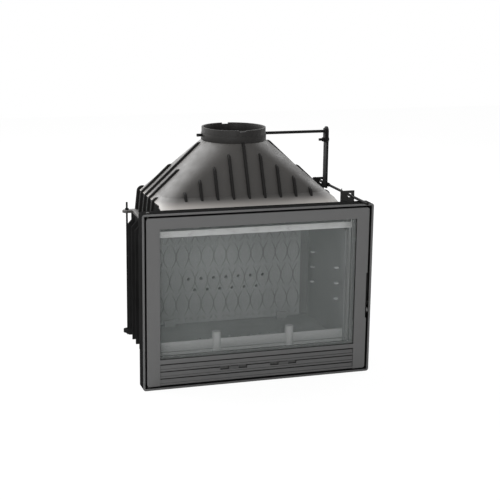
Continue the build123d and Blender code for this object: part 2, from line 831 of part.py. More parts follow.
with BuildPart() as hood:
    # skirt, from the flange to the knee; the front is cut down to the ledge afterwards
    corners = []
    for half, height in ((hood_foot_half_width, body_top), (hood_knee_half_width, hood_knee_height)):
        corners += corner_ring(half, casing_depth, hood_rear_depth, hood_wall, hood_rear_corner, height)
    ConvexPolyhedron(corners)
    # the ledge in front, with a concave sweep up to the sloping front face
    ledge_cut_top = hood_knee_height + hood_flare_radius
    with BuildSketch(profile_at(-hood_foot_half_width)):
        with BuildLine():
            FilletPolyline(
                (y_at(casing_depth), hood_ledge_height),
                (y_at(front_slope(hood_ledge_height)), hood_ledge_height),
                (y_at(front_slope(ledge_cut_top)), ledge_cut_top),
                (y_at(casing_depth), ledge_cut_top),
                radius=(hood_flare_radius, 0.5),
                close=False,
            )
            Line((y_at(casing_depth), ledge_cut_top), (y_at(casing_depth), hood_ledge_height))
        make_face()
    extrude(amount=2 * hood_foot_half_width, mode=Mode.SUBTRACT)
    # square-to-round blend: four flat triangles, and cone-like corners in narrow flats
    ConvexPolyhedron(knee_ring(0, hood_knee_height) + collar_ring(collar_radius, hood_top_height))
    # flange at the foot
    extrude(plate_with_ears(body_top), amount=hood_flange)
    # front ribs, each as long as the flat triangle is tall there
    for index in range(front_rib_count):
        x = (index - (front_rib_count - 1) / 2) * front_rib_pitch
        top = hood_knee_height + (1 - abs(x) / front_rib_base) * hood_rise - rib_end_gap
        with BuildSketch(profile_at(x)):
            with BuildLine():
                Polyline(
                    (y_at(front_slope(hood_knee_height) + hood_wall / 2), hood_knee_height),
                    (y_at(front_slope(hood_knee_height) - rib_reach), hood_knee_height),
                    (y_at(front_slope(top - rib_end_drop) - rib_reach), top - rib_end_drop),
                    (y_at(front_slope(top)), top),
                    (y_at(front_slope(top) + hood_wall / 2), top),
                    close=True,
                )
            make_face()
        extrude(amount=rib_thickness / 2, both=True)
    # side ribs, up the skirt, round the knee and up the slope
    for side in (-1, 1):
        for index in range(side_rib_count):
            shift = side_rib_first + index * side_rib_pitch - collar_depth
            span = side_rib_front_span if shift < 0 else side_rib_rear_span
            top = hood_knee_height + (1 - abs(shift) / span) * (hood_rise - rib_end_drop)
            with BuildSketch(upright(collar_depth + shift)):
                with BuildLine():
                    FilletPolyline(
                        (side * hood_foot_half_width, body_top + hood_flange),
                        (side * hood_knee_half_width, hood_knee_height),
                        (side * side_slope(top), top),
                        radius=min(rib_knee_radius, 2 * (top - hood_knee_height)),
                    )
                trace(line_width=2 * rib_reach)
            extrude(amount=rib_thickness / 2, both=True)
    # flat pads for the rod brackets
    for depth in (bracket_front_depth, bracket_rear_depth):
        pad_front = y_at(depth - bracket_metal / 2 - pad_margin)
        with Locations((hood_foot_half_width - hood_wall, pad_front, middle(pad_low, pad_high))):
            Box(pad_half_width - hood_foot_half_width + hood_wall, pad_depth, pad_high - pad_low,
                align=(Align.MIN, Align.MIN, Align.CENTER))
    # hollow inside, open below and at the collar
    with BuildSketch(Plane.XY.offset(body_top)):
        with Locations((0, y_at(middle(casing_depth, hood_rear_depth)))):
            Rectangle(2 * (hood_knee_half_width - hood_wall), hood_rear_depth - casing_depth - 2 * hood_wall)
    extrude(amount=hood_ledge_height - hood_wall - body_top, mode=Mode.SUBTRACT)
    inner_knee = knee_ring(hood_wall, hood_knee_height)
    ConvexPolyhedron(knee_ring(hood_wall, body_top) + inner_knee, mode=Mode.SUBTRACT)
    ConvexPolyhedron(inner_knee + collar_ring(collar_bore, hood_top_height), mode=Mode.SUBTRACT)
save(hood, "hood")

# ================================================================ flue collar and damper
with BuildPart() as flue_collar:
    with BuildSketch(Plane.XY.offset(hood_top_height)):
        with Locations((0, y_at(collar_depth))):
            Circle(collar_radius)
    extrude(amount=collar_height)
    with BuildSketch(Plane.XY.offset(hood_top_height)):
        with Locations((0, y_at(collar_depth))):
            Circle(collar_radius + collar_shoulder)
    extrude(amount=collar_shoulder_height)
    with BuildSketch(Plane.XY.offset(hood_top_height)):
        with Locations((0, y_at(collar_depth))):
            Circle(collar_bore)
    extrude(amount=collar_height, mode=Mode.SUBTRACT)
    with Locations((0, y_at(collar_depth), collar_top)):
        Box(notch_width, 3 * collar_radius, 2 * notch_depth, mode=Mode.SUBTRACT)
    with Locations(crosswise(0, collar_depth, shaft_z)):
        Cylinder(shaft_radius + running_gap, 3 * collar_radius, mode=Mode.SUBTRACT)
save(flue_collar, "flue_collar")

shaft_start_x = -(collar_radius + shaft_stub)

with BuildPart() as damper_shaft:
    with Locations(crosswise(shaft_start_x, collar_depth, shaft_z)):
        Cylinder(shaft_radius, lever_right - shaft_start_x, align=START)
save(damper_shaft, "damper_shaft")

# the flap leans at rest: its front half is up
flap_plane = Plane(origin=(0, y_at(collar_depth), shaft_z)).rotated((-flap_tilt, 0, 0))

with BuildPart() as damper_flap:
    with BuildSketch(flap_plane):
        Circle(collar_bore - flap_gap)
    extrude(amount=flap_thickness / 2, both=True)
    with Locations(crosswise(0, collar_depth, shaft_z)):
        Cylinder(flap_hub_radius, flap_hub_length)
    with Locations(crosswise(0, collar_depth, shaft_z)):
        Cylinder(shaft_radius + fixed_gap, 3 * collar_radius, mode=Mode.SUBTRACT)
    for side in (-1, 1):
        with Locations((side * flap_screw_offset, y_at(collar_depth), shaft_z)):
            Cylinder(flap_screw_radius + fixed_gap, flap_hub_radius, align=START, mode=Mode.SUBTRACT)
save(damper_flap, "damper_flap")

with BuildPart() as flap_screws:
    for side in (-1, 1):
        with Locations((side * flap_screw_offset, y_at(collar_depth), shaft_z + shaft_radius)):
            Cylinder(flap_screw_radius, flap_screw_height, align=START)
save(flap_screws, "flap_screws")

lever_low = rod_height - lever_below_rod
lever_high = shaft_z + lever_above_shaft

with BuildPart() as damper_lever:
    with BuildSketch(profile_at(lever_left)):
        with Locations((y_at(collar_depth), lever_low)):
            Rectangle(lever_width, lever_high - lever_low - lever_width / 2, align=(Align.CENTER, Align.MIN))
        with Locations((y_at(collar_depth), lever_high - lever_width / 2)):
            Circle(lever_width / 2)
        with Locations((y_at(collar_depth), shaft_z)):
            Circle(shaft_radius + fixed_gap, mode=Mode.SUBTRACT)
        with Locations((y_at(collar_depth), bolt_z)):
            Circle(bolt_radius + fixed_gap, mode=Mode.SUBTRACT)
    extrude(amount=lever_plate)
save(damper_lever, "damper_lever")

with BuildPart() as lever_clamp:
    with BuildSketch(profile_at(lever_left - clamp_thickness)):
        with Locations((y_at(collar_depth), shaft_z + clamp_above)):
            Rectangle(clamp_width, clamp_above + clamp_below, align=(Align.CENTER, Align.MAX))
        with Locations((y_at(collar_depth), shaft_z)):
            Circle(shaft_radius + fixed_gap, mode=Mode.SUBTRACT)
        with Locations((y_at(collar_depth), bolt_z)):
            Circle(bolt_radius + fixed_gap, mode=Mode.SUBTRACT)
    extrude(amount=clamp_thickness)
save(lever_clamp, "lever_clamp")

with BuildPart() as lever_bolt:
    with Locations(crosswise(lever_left - clamp_thickness - nut_height - bolt_tip, collar_depth, bolt_z)):
        Cylinder(bolt_radius, bolt_tip + nut_height + clamp_thickness + lever_plate, align=START)
    with BuildSketch(profile_at(lever_right)):
        with Locations((y_at(collar_depth), bolt_z)):
            RegularPolygon(bolt_head_radius, 6)
    extrude(amount=bolt_head_height)
save(lever_bolt, "lever_bolt")

with BuildPart() as lever_nut:
    with BuildSketch(profile_at(lever_left - clamp_thickness - nut_height)):
        with Locations((y_at(collar_depth), bolt_z)):
            RegularPolygon(bolt_head_radius, 6)
            Circle(bolt_radius + fixed_gap, mode=Mode.SUBTRACT)
    extrude(amount=nut_height)
save(lever_nut, "lever_nut")

# ================================================================ control rod and its brackets
with BuildPart() as control_rod:
    with Locations(lengthwise(rod_x, -rod_front_reach, rod_height)):
        Cylinder(rod_radius, rod_front_reach + rod_rear_depth, align=START)
    chamfer(control_rod.edges().filter_by(GeomType.CIRCLE), rod_end_chamfer)
    with Locations((rod_x, y_at(stop_depth), rod_height)):
        Cylinder(stop_radius + fixed_gap, 3 * rod_radius, mode=Mode.SUBTRACT)
save(control_rod, "control_rod")

with BuildPart() as rod_stop_pin:
    with Locations((rod_x, y_at(stop_depth), rod_height)):
        Cylinder(stop_radius, stop_length)
save(rod_stop_pin, "rod_stop_pin")

# a clamp ring on the rod, with a boss that points at the lever's foot
with BuildPart() as rod_collar:
    with Locations(lengthwise(rod_x, collar_depth, rod_height)):
        Cylinder(pivot_ring_radius, pivot_ring_width)
    with Locations(crosswise(lever_right + pivot_gap, collar_depth, rod_height)):
        Cylinder(pivot_boss_radius, rod_x - lever_right - pivot_gap, align=START)
    with Locations(lengthwise(rod_x, collar_depth, rod_height)):
        Cylinder(rod_radius + fixed_gap, pivot_ring_width, mode=Mode.SUBTRACT)
save(rod_collar, "rod_collar")


def rod_bracket(depth, reach, drop):
    """An angle bracket: a foot on the hood's pad, and a plate whose hole guides the rod."""
    bracket_top = rod_height + bracket_above_rod
    with BuildPart() as bracket:
        with BuildSketch(upright(depth + bracket_metal / 2)):
            with Locations((pad_half_width, bracket_top)):
                Rectangle(bracket_root, bracket_top - pad_low, align=(Align.MIN, Align.MAX))
                Rectangle(rod_x + reach - pad_half_width, bracket_above_rod + drop,
                          align=(Align.MIN, Align.MAX))
            with Locations((rod_x, rod_height)):
                Circle(rod_radius + bracket_hole_gap, mode=Mode.SUBTRACT)
        extrude(amount=bracket_metal)
        with BuildSketch(profile_at(pad_half_width)):
            with Locations((y_at(depth - bracket_metal / 2), middle(pad_low, pad_high))):
                Rectangle(bracket_foot, pad_height, align=(Align.MIN, Align.CENTER))
        extrude(amount=bracket_metal)
        with Locations(crosswise(pad_half_width, depth + bracket_screw_inset, middle(pad_low, pad_high))):
            Cylinder(screw_radius + fixed_gap, bracket_metal, align=START, mode=Mode.SUBTRACT)
    return bracket


rod_bracket_rear = rod_bracket(bracket_rear_depth, bracket_rear_reach, bracket_rear_drop)
save(rod_bracket_rear, "rod_bracket_rear")
rod_bracket_front = rod_bracket(bracket_front_depth, bracket_front_reach, bracket_front_drop)
save(rod_bracket_front, "rod_bracket_front")

with BuildPart() as bracket_screws:
    for depth in (bracket_front_depth, bracket_rear_depth):
        with Locations(crosswise(pad_half_width, depth + bracket_screw_inset, middle(pad_low, pad_high))):
            Cylinder(screw_radius, bracket_metal, align=START)
        head_x = pad_half_width + bracket_metal
        with Locations(crosswise(head_x, depth + bracket_screw_inset, middle(pad_low, pad_high))):
            Cylinder(screw_head_radius, screw_head_height, align=START)
save(bracket_screws, "bracket_screws")

# ================================================================ inside the firebox
with BuildPart() as hearth_plate:
    with BuildSketch(Plane.XY.offset(base_top)):
        with Locations((0, y_at(middle(casing_depth, rear_inner_depth)))):
            Rectangle(2 * (body_inner_half - hearth_gap), rear_inner_depth - casing_depth - 2 * hearth_gap)
        with Locations((0, y_at(slot_field_depth))):
            with GridLocations(slot_pitch, 0, slot_count, 1):
                SlotOverall(slot_length - slot_width, slot_width, rotation=90, mode=Mode.SUBTRACT)
    extrude(amount=hearth_thickness)
save(hearth_plate, "hearth_plate")


def lining(side):
    """A side lining with six short ledges, in two columns, for a cooking rack."""
    with BuildPart() as plate:
        with BuildSketch(profile_at(side * (body_inner_half - lining_thickness / 2))):
            with Locations((y_at(middle(lining_front_depth, rear_inner_depth)), hearth_top)):
                Rectangle(rear_inner_depth - lining_front_depth - hearth_gap, lining_top - hearth_top,
                          align=(Align.CENTER, Align.MIN))
        extrude(amount=lining_thickness / 2, both=True)
        for depth in rack_depths:
            for row in range(rack_rows):
                height = hearth_top + rack_rise + row * rack_pitch
                with Locations((side * (body_inner_half - lining_thickness), y_at(depth), height)):
                    Box(rack_reach, rack_length, rack_thickness,
                        align=(Align.MAX if side > 0 else Align.MIN, Align.CENTER, Align.CENTER))
    return plate


lining_left = lining(-1)
save(lining_left, "lining_left")
lining_right = lining(1)
save(lining_right, "lining_right")

with BuildPart() as fireback:
    with BuildSketch(upright(fireback_front_depth + fireback_plate)):
        with Locations((0, fireback_low)):
            Rectangle(2 * fireback_half_width, lining_top - fireback_low, align=(Align.CENTER, Align.MIN))
        with Locations((0, hearth_top + vent_rise + vent_row_gap)):
            with GridLocations(vent_pitch, 0, vent_count, 1):
                Circle(vent_radius, mode=Mode.SUBTRACT)
        with Locations((0, hearth_top + vent_rise)):
            with GridLocations(vent_pitch, 0, vent_count - 1, 1):
                Circle(vent_radius, mode=Mode.SUBTRACT)
    extrude(amount=fireback_plate)
    # two feet in front, and two bosses that hold the plate off the rear wall
    for side in (-1, 1):
        with Locations((side * (fireback_half_width - foot_inset), y_at(fireback_front_depth), hearth_top)):
            Box(foot_width, foot_thickness, foot_height, align=(Align.CENTER, Align.MAX, Align.MIN))
            Box(foot_width, fireback_plate, fireback_foot_gap, align=(Align.CENTER, Align.MIN, Align.MIN))
        back_depth = fireback_front_depth + fireback_plate
        boss_x = side * (fireback_half_width - boss_inset)
        with Locations(lengthwise(boss_x, back_depth, middle(fireback_low, lining_top))):
            Cylinder(boss_radius, rear_inner_depth - back_depth, align=START)
save(fireback, "fireback")

baffle_front_depth = casing_depth + baffle_throat

with BuildPart() as smoke_baffle:
    with BuildSketch(Plane.XY.offset(lining_top)):
        with Locations((0, y_at(middle(baffle_front_depth, rear_inner_depth)))):
            Rectangle(2 * (body_inner_half - hearth_gap), rear_inner_depth - baffle_front_depth - hearth_gap)
    extrude(amount=baffle_thickness)
save(smoke_baffle, "smoke_baffle")

with BuildPart() as air_wash_strip:
    with BuildSketch(upright(middle(casing_back_depth, casing_depth) + strip_metal / 2)):
        with Locations((0, body_top - strip_drop)):
            Rectangle(2 * body_half_width, strip_height, align=(Align.CENTER, Align.MIN))
    extrude(amount=strip_metal)
save(air_wash_strip, "air_wash_strip")

fence_half = body_inner_half - lining_thickness - fence_end_gap
fence_middle_depth = fence_depth + fence_thickness / 2

with BuildPart() as log_fence:
    with BuildSketch(upright(fence_depth + fence_thickness)):
        with Locations((0, hearth_top)):
            Rectangle(2 * fence_half, fence_height, align=(Align.CENTER, Align.MIN))
    extrude(amount=fence_thickness)
    with Locations((0, y_at(fence_depth), hearth_top + fence_groove_low)):
        Box(2 * fence_half, 2 * fence_groove, fence_groove_width, mode=Mode.SUBTRACT)
save(log_fence, "log_fence")

for side, side_name in ((-1, "left"), (1, "right")):
    with BuildPart() as fence_post:
        with Locations((side * post_offset, y_at(fence_middle_depth), hearth_top)):
            Cylinder(post_radius, post_height, align=START)
        chamfer(fence_post.faces().sort_by(Axis.Z)[-1].edges(), post_chamfer)
        with Locations((side * post_offset, y_at(fence_middle_depth), hearth_top)):
            Box(2 * post_radius, fence_thickness + 2 * post_slot_gap, fence_height + post_slot_gap,
                align=START, mode=Mode.SUBTRACT)
    save(fence_post, f"fence_post_{side_name}")

with BuildPart() as air_box:
    with BuildSketch(Plane.XY):
        with Locations((0, y_at(middle(casing_depth, air_box_rear_depth)))):
            Rectangle(2 * air_box_half_width, air_box_rear_depth - casing_depth)
    extrude(amount=base_low)
    with BuildSketch(Plane.XY.offset(air_box_wall)):
        with Locations((0, y_at(air_box_rear_depth - air_box_wall))):
            Rectangle(2 * (air_box_half_width - air_box_wall),
                      air_box_rear_depth - casing_depth - air_box_wall, align=(Align.CENTER, Align.MAX))
    extrude(amount=base_low, mode=Mode.SUBTRACT)
save(air_box, "air_box")
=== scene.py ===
# %% [markdown]
# # A cast-iron fireplace insert
# The mechanical model gives the size and place of every piece.  This script gives each piece its look:
# detailed meshes where a casting has relief or rope has strands, and a finish for every surface.  Units are
# metres, the front of the stove faces -Y, and +Z is up.

# %% Load the frame
import math

import bmesh
import bpy
from mathutils import Matrix, Vector


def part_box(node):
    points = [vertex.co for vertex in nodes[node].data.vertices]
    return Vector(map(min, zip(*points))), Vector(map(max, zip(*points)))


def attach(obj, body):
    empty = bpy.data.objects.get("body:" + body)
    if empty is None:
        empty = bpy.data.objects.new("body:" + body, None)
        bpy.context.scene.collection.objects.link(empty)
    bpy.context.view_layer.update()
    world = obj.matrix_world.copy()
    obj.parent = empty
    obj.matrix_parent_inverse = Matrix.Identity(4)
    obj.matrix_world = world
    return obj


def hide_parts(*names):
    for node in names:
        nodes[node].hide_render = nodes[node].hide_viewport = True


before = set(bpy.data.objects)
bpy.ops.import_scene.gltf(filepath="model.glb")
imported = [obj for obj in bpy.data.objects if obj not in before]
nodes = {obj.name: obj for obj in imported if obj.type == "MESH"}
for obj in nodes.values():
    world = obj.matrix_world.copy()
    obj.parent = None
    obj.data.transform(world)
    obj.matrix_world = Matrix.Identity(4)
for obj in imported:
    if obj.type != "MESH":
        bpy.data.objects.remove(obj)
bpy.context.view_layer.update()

# %% [markdown]
# ## Camera
# A photograph's view is found by matching known corners of the casing, the collar and the ribs.  Here the
# camera stands to the left and a little above, with a long lens, so the uprights nearly stay upright.

# %% Camera
FRAME_SIDE = 500
SENSOR = 36.0
FOCAL_PIXELS = 1234.0
CENTRE_PIXEL = (249.75, 244.6)
CAMERA_PLACE = Vector((-1.0803, -3.4845, 1.2279))
CAMERA_HEADING = math.radians(17.589)
CAMERA_PITCH = math.radians(13.182)
CAMERA_ROLL = math.radians(0.725)


def camera_matrix():
    """The camera's place and turn, from its heading, pitch and roll."""
    forward = Vector((
        math.sin(CAMERA_HEADING) * math.cos(CAMERA_PITCH),
        math.cos(CAMERA_HEADING) * math.cos(CAMERA_PITCH),
        -math.sin(CAMERA_PITCH),
    ))
    level = Vector((math.cos(CAMERA_HEADING), -math.sin(CAMERA_HEADING), 0))
    above = level.cross(forward)
    right = level * math.cos(CAMERA_ROLL) + above * math.sin(CAMERA_ROLL)
    up = above * math.cos(CAMERA_ROLL) - level * math.sin(CAMERA_ROLL)
    turn = Matrix((right, up, -forward)).transposed().to_4x4()
    return Matrix.Translation(CAMERA_PLACE) @ turn


def add_object(name, data):
    """A new object in the scene."""
    made = bpy.data.objects.new(name, data)
    scene.collection.objects.link(made)
    return made


scene = bpy.context.scene
camera_data = bpy.data.cameras.new("camera")
camera_data.sensor_width = SENSOR
camera_data.lens = FOCAL_PIXELS / FRAME_SIDE * SENSOR
camera_data.shift_x = (FRAME_SIDE / 2 - CENTRE_PIXEL[0]) / FRAME_SIDE
camera_data.shift_y = (CENTRE_PIXEL[1] - FRAME_SIDE / 2) / FRAME_SIDE
camera = add_object("camera", camera_data)
camera.matrix_world = camera_matrix()
scene.camera = camera
scene.view_settings.view_transform = "Standard"
print("lens", round(camera_data.lens, 1), "mm")

# %% [markdown]
# ## Writing node trees as sums
# A material is a small formula: a noise here, a mask there, multiplied and added.  Python's own operators
# read better than a page of node links, so one class wraps a socket and turns `a * b + c` into Math nodes,
# for materials and shapes alike.

# %% Formulas
class Wire:
    """A value in a node tree.  Its operators add Math nodes."""

    def __init__(self, graph, socket):
        self.graph = graph
        self.socket = socket

    def __add__(self, other):
        return self.graph.math("ADD", self, other)

    def __sub__(self, other):
        return self.graph.math("SUBTRACT", self, other)

    def __mul__(self, other):
        return self.graph.math("MULTIPLY", self, other)

    def __truediv__(self, other):
        return self.graph.math("DIVIDE", self, other)


class Graph:
    """A node tree that is written with formulas."""

    def __init__(self, tree):
        self.tree = tree

    def feed(self, socket, value):
        """Set a socket to a plain value, or link it to a wire."""
        if isinstance(value, Wire):
            self.tree.links.new(value.socket, socket)
        else:
            socket.default_value = value

    def node(self, kind, values, result=0, **settings):
        """Any node: its settings first, then the values or links of its sockets."""
        made = self.tree.nodes.new(kind)
        for key, value in settings.items():
            setattr(made, key, value)
        for key, value in values.items():
            self.feed(made.inputs[key], value)
        return Wire(self, made.outputs[result])

    def math(self, operation, first, second=0.0):
        """One Math node."""
        return self.node("ShaderNodeMath", {0: first, 1: second}, operation=operation)


print("formula classes:", Wire.__name__, Graph.__name__)

# %% [markdown]
# ## Surface finishes
# Each finish is one main shader, fed by formulas: noise for the skin, masks for zones, and a bump for the
# grain.

# %% Finish class
MIX_FACTOR, MIX_LOW, MIX_HIGH, MIX_COLOUR = 0, 6, 7, 2
LAND_BORDER = 0.0012


class Finish(Graph):
    """A procedural material."""

    def __init__(self, name):
        self.material = bpy.data.materials.new(name)
        self.material.use_nodes = True
        super().__init__(self.material.node_tree)
        self.tree.nodes.clear()
        self.output = self.tree.nodes.new("ShaderNodeOutputMaterial")
        self.shader = self.tree.nodes.new("ShaderNodeBsdfPrincipled")
        self.tree.links.new(self.shader.outputs[0], self.output.inputs["Surface"])
        self.place = self.node("ShaderNodeTexCoord", {}, result="Object")

    def noise(self, scale, detail, roughness=0.5):
        """Soft random variation, about `scale` waves in a metre."""
        sockets = {"Vector": self.place, "Scale": scale, "Detail": detail, "Roughness": roughness}
        return self.node("ShaderNodeTexNoise", sockets, result="Fac")

    def ramp(self, value, low, high):
        """0 below `low`, 1 above `high`, and a smooth step between."""
        sockets = {"Value": value, "From Min": low, "From Max": high}
        return self.node("ShaderNodeMapRange", sockets, interpolation_type="SMOOTHSTEP", clamp=True)

    def blend(self, mask, low, high):
        """A colour that goes from `low` to `high` with a mask."""
        made = self.tree.nodes.new("ShaderNodeMix")
        made.data_type = "RGBA"
        self.feed(made.inputs[MIX_FACTOR], mask)
        self.feed(made.inputs[MIX_LOW], low)
        self.feed(made.inputs[MIX_HIGH], high)
        return Wire(self, made.outputs[MIX_COLOUR])

    def past(self, direction, start, border=LAND_BORDER):
        """A mask: 1 where the surface lies past a place along a direction, in metres."""
        sockets = {0: self.place, 1: direction}
        reach = self.node("ShaderNodeVectorMath", sockets, result="Value", operation="DOT_PRODUCT")
        return self.ramp(reach, start, start + border)

    def bump(self, height, distance, strength):
        """Small relief, in metres, from a height between 0 and 1."""
        sockets = {"Height": height, "Distance": distance, "Strength": strength}
        return self.node("ShaderNodeBump", sockets, result="Normal")

    def set(self, values):
        """Values or wires for the main shader's sockets."""
        for title, value in values.items():
            self.feed(self.shader.inputs[title], value)
        return self.material


def grey(value, warm=0.0):
    """A neutral colour, a little warm or cool."""
    return (value * (1 + warm), value, value * (1 - warm), 1)


print("a warm grey:", grey(0.5, 0.1))

# %% [markdown]
# ## Cast iron and steel
# A sand casting keeps the grain of its mould: a fine pitted skin over larger soft waves.  One formula
# serves all castings, with another tone for each.  Turned or rolled steel is smoother, with faint stains
# and fine scratches.

# %% Cast iron and steel
WAVES, CLOUDS, PITS, SAND = 9, 38, 330, 900
STAINS, SCRATCHES = 60, 1400


def casting(name, tone, warm=0.0, grain=0.0002, gloss=0.5, mottle=0.2, sheen=0.5, land=None, land_tone=0.1):
    """Cast iron with a sandy skin; `land` gives a mask for a zone with another tone."""
    finish = Finish(name)
    waves = finish.noise(WAVES, detail=3)
    cloud = finish.noise(CLOUDS, detail=5, roughness=0.6)
    sand = finish.noise(SAND, detail=3, roughness=0.6)
    pits = finish.noise(PITS, detail=4, roughness=0.65)
    shade = finish.ramp(waves * 0.6 + cloud * 0.4, low=0.32, high=0.68)
    dark, pale = tone * (1 - mottle / 2), tone * (1 + mottle / 2)
    body = finish.blend(shade, grey(dark, warm), grey(pale, warm))
    if land:
        body = finish.blend(land(finish), body, grey(land_tone, warm))
    return finish.set({
        "Base Color": body,
        "Roughness": finish.ramp(cloud, low=0.2, high=0.8) * 0.12 + gloss,
        "Metallic": 0.0,
        "Specular IOR Level": sheen,
        "Normal": finish.bump(sand * 0.45 + pits * 0.55, grain, strength=0.9),
    })


def steel(name, tone, gloss, metallic, spots=0.1, sheen=0.5):
    """Plain rolled or turned steel, with faint stains."""
    finish = Finish(name)
    stain = finish.ramp(finish.noise(STAINS, detail=5, roughness=0.65), low=0.42, high=0.7)
    colour = finish.blend(stain * spots * 4, grey(tone), grey(tone * 0.55, 0.04))
    return finish.set({
        "Base Color": colour,
        "Roughness": stain * 0.15 + gloss,
        "Metallic": metallic,
        "Specular IOR Level": sheen,
        "Normal": finish.bump(finish.noise(SCRATCHES, detail=2), distance=0.00006, strength=0.6),
    })


black_steel = steel("black steel", 0.012, gloss=0.5, metallic=0.0, spots=0.0, sheen=0.05)
bracket_steel = steel("bracket steel", 0.03, gloss=0.5, metallic=0.0, sheen=0.2)
dull_steel = steel("dull steel", 0.12, gloss=0.45, metallic=0.3)
zinc_steel = steel("zinc steel", 0.3, gloss=0.4, metallic=1.0)
register_steel = steel("register steel", 0.05, gloss=0.45, metallic=0.0)
strip_steel = steel("strip steel", 0.42, gloss=0.4, metallic=0.3)
print("materials", len(bpy.data.materials))

# %% [markdown]
# ## Zones with a tone of their own
# Soot and ash follow a casting's shape: soot gathers high on the fireback, and a plate is dark outside and
# ash-grey within the firebox.  Painted light and shade follow it too: the faces of the door, rim, louvres and
# fence and the hood's ledge are painted paler where light falls, their edges and grooves darker as painted
# shade, the rack ledges carry a painted highlight, and the rear plate stays dark behind the fireback as
# painted shade.  A mask says where each zone lies: how far a point is along a direction, measured from the
# mechanical model's boxes.

# %% Zones
FRONT, BACK = (0, -1, 0), (0, 1, 0)
LEFT, RIGHT = (-1, 0, 0), (1, 0, 0)
DOWN, UP = (0, 0, -1), (0, 0, 1)

rim_front = -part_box("casing_flange")[0][1]
door_front = -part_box("door_frame")[0][1]
louvre_front = -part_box("louvre_panel")[0][1]
fence_front = -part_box("log_fence")[0][1]
rear_front = -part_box("rear_plate")[0][1]
back_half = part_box("fireback")[1][0]
lining_front = -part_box("lining_right")[0][1]
ledge_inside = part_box("lining_right")[0][0]
plate_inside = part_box("right_side_plate")[0][0]
DOOR_EDGE, DOOR_BORDER = 0.0014, 0.0006
LOUVRE_FACE = 0.0035
SLOPE_TOP, SLOPE_BORDER = 0.0018, 0.0003
LIP_EDGE = 0.0002
SLOPE_PAINTED_SHADE = 0.6
RIM_EDGE = 0.0018
FENCE_EDGE = 0.0014
REAR_EDGE = 0.0015
LEDGE_REACH = 0.0078
PLATE_REACH = 0.0072
LEDGE_PALE_BELOW, LEDGE_FADE = 0.533, 0.02
SOOT_FROM, SOOT_FADE = 0.3, 0.14
WEB_DEPTH = (0.1425, 0.147)
WEB_HALF = 0.33
WEB_HEIGHTS = (0.05, 0.5)


def beyond(direction, start, border=LAND_BORDER):
    """The zone past a place along a direction."""
    return lambda finish: finish.past(direction, start, border)


def louvre_painted_light_and_shade(finish):
    """The face and lip of each louvre, painted lighter as lit; the groove is painted shade, and the slope
    between the two is painted darker as shade at the step.
    """
    slope = finish.past(FRONT, louvre_front - SLOPE_TOP, SLOPE_BORDER)
    slope *= finish.past(BACK, LIP_EDGE - louvre_front, LIP_EDGE)
    return finish.past(FRONT, louvre_front - LOUVRE_FACE) - slope * SLOPE_PAINTED_SHADE


def rim_and_web_painted_light(finish):
    """The rim's front face, painted lighter as if lit from the front while its sides stay dark, and the web
    round the opening, seen through the glass, paler too.
    """
    web = finish.past(FRONT, WEB_DEPTH[0]) * finish.past(BACK, -WEB_DEPTH[1])
    web *= finish.past(LEFT, -WEB_HALF) * finish.past(RIGHT, -WEB_HALF)
    web *= finish.past(UP, WEB_HEIGHTS[0]) * finish.past(DOWN, -WEB_HEIGHTS[1])
    return web + finish.past(FRONT, rim_front - RIM_EDGE)


def beside_fireback(finish):
    """The rear plate's inner face, left and right of the fireback."""
    beside = finish.past(LEFT, back_half) + finish.past(RIGHT, back_half)
    # Behind the fireback the plate keeps its dark tone, as painted shade in the cavity seen through the
    # holes.
    return finish.past(FRONT, rear_front - REAR_EDGE) * beside


def plate_inner(inwards):
    """The inner face of a side plate, in front of its lining."""
    return lambda finish: finish.past(inwards, -plate_inside - PLATE_REACH) * finish.past(FRONT, lining_front)


# The door's face is painted light, paler as if lit from the front; its edges and the pane's jambs stay dark
# as painted shade.
door_face_painted_light = beyond(FRONT, door_front - DOOR_EDGE, DOOR_BORDER)
# The fence's front face is painted light, paler than its grooves and sides, which stay dark as painted shade.
fence_face_painted_light = beyond(FRONT, fence_front - FENCE_EDGE)
ledge_painted_light = beyond(DOWN, -LEDGE_PALE_BELOW, LEDGE_FADE)
sooty_top = beyond(UP, SOOT_FROM, SOOT_FADE)
# The rack ledges that stand out of the linings carry a painted highlight: a much paler tone.
left_rack_highlight, right_rack_highlight = [beyond(inwards, -ledge_inside - LEDGE_REACH) for inwards in (RIGHT, LEFT)]
print("zones fade over", LAND_BORDER, "m")

# %% [markdown]
# ## Tones of the castings
# The door is painted, the plates are raw and the linings pale with ash: each kind shares its settings.

# %% Castings
PAINT = {"grain": 0.00012, "mottle": 0.1, "sheen": 0.3}
RAW = {"gloss": 0.75, "mottle": 0.4, "sheen": 0.0}
LINED = {"warm": -0.012, "grain": 0.0003, "gloss": 0.6}

door_paint_and_light = casting("painted door", 0.014, land=door_face_painted_light, land_tone=0.112, **PAINT)
louvre_paint_and_light = casting("painted louvre", 0.008, land=louvre_painted_light_and_shade, land_tone=0.1, **PAINT)
rim_iron_and_painted_light = casting("casing rim", 0.012, gloss=0.7, mottle=0.3, sheen=0.0, land=rim_and_web_painted_light, land_tone=0.13)
hood_iron = casting("hood casting", 0.034, warm=0.075, grain=0.0001, mottle=0.25)
# The hood's ledge is painted light: a paler tone on its upward faces, and paler still low on the flat ledge.
ledge_iron_painted_light = casting(
    "hood ledge", 0.05, warm=0.06, grain=0.0001, gloss=0.45, mottle=0.15, land=ledge_painted_light, land_tone=0.24)
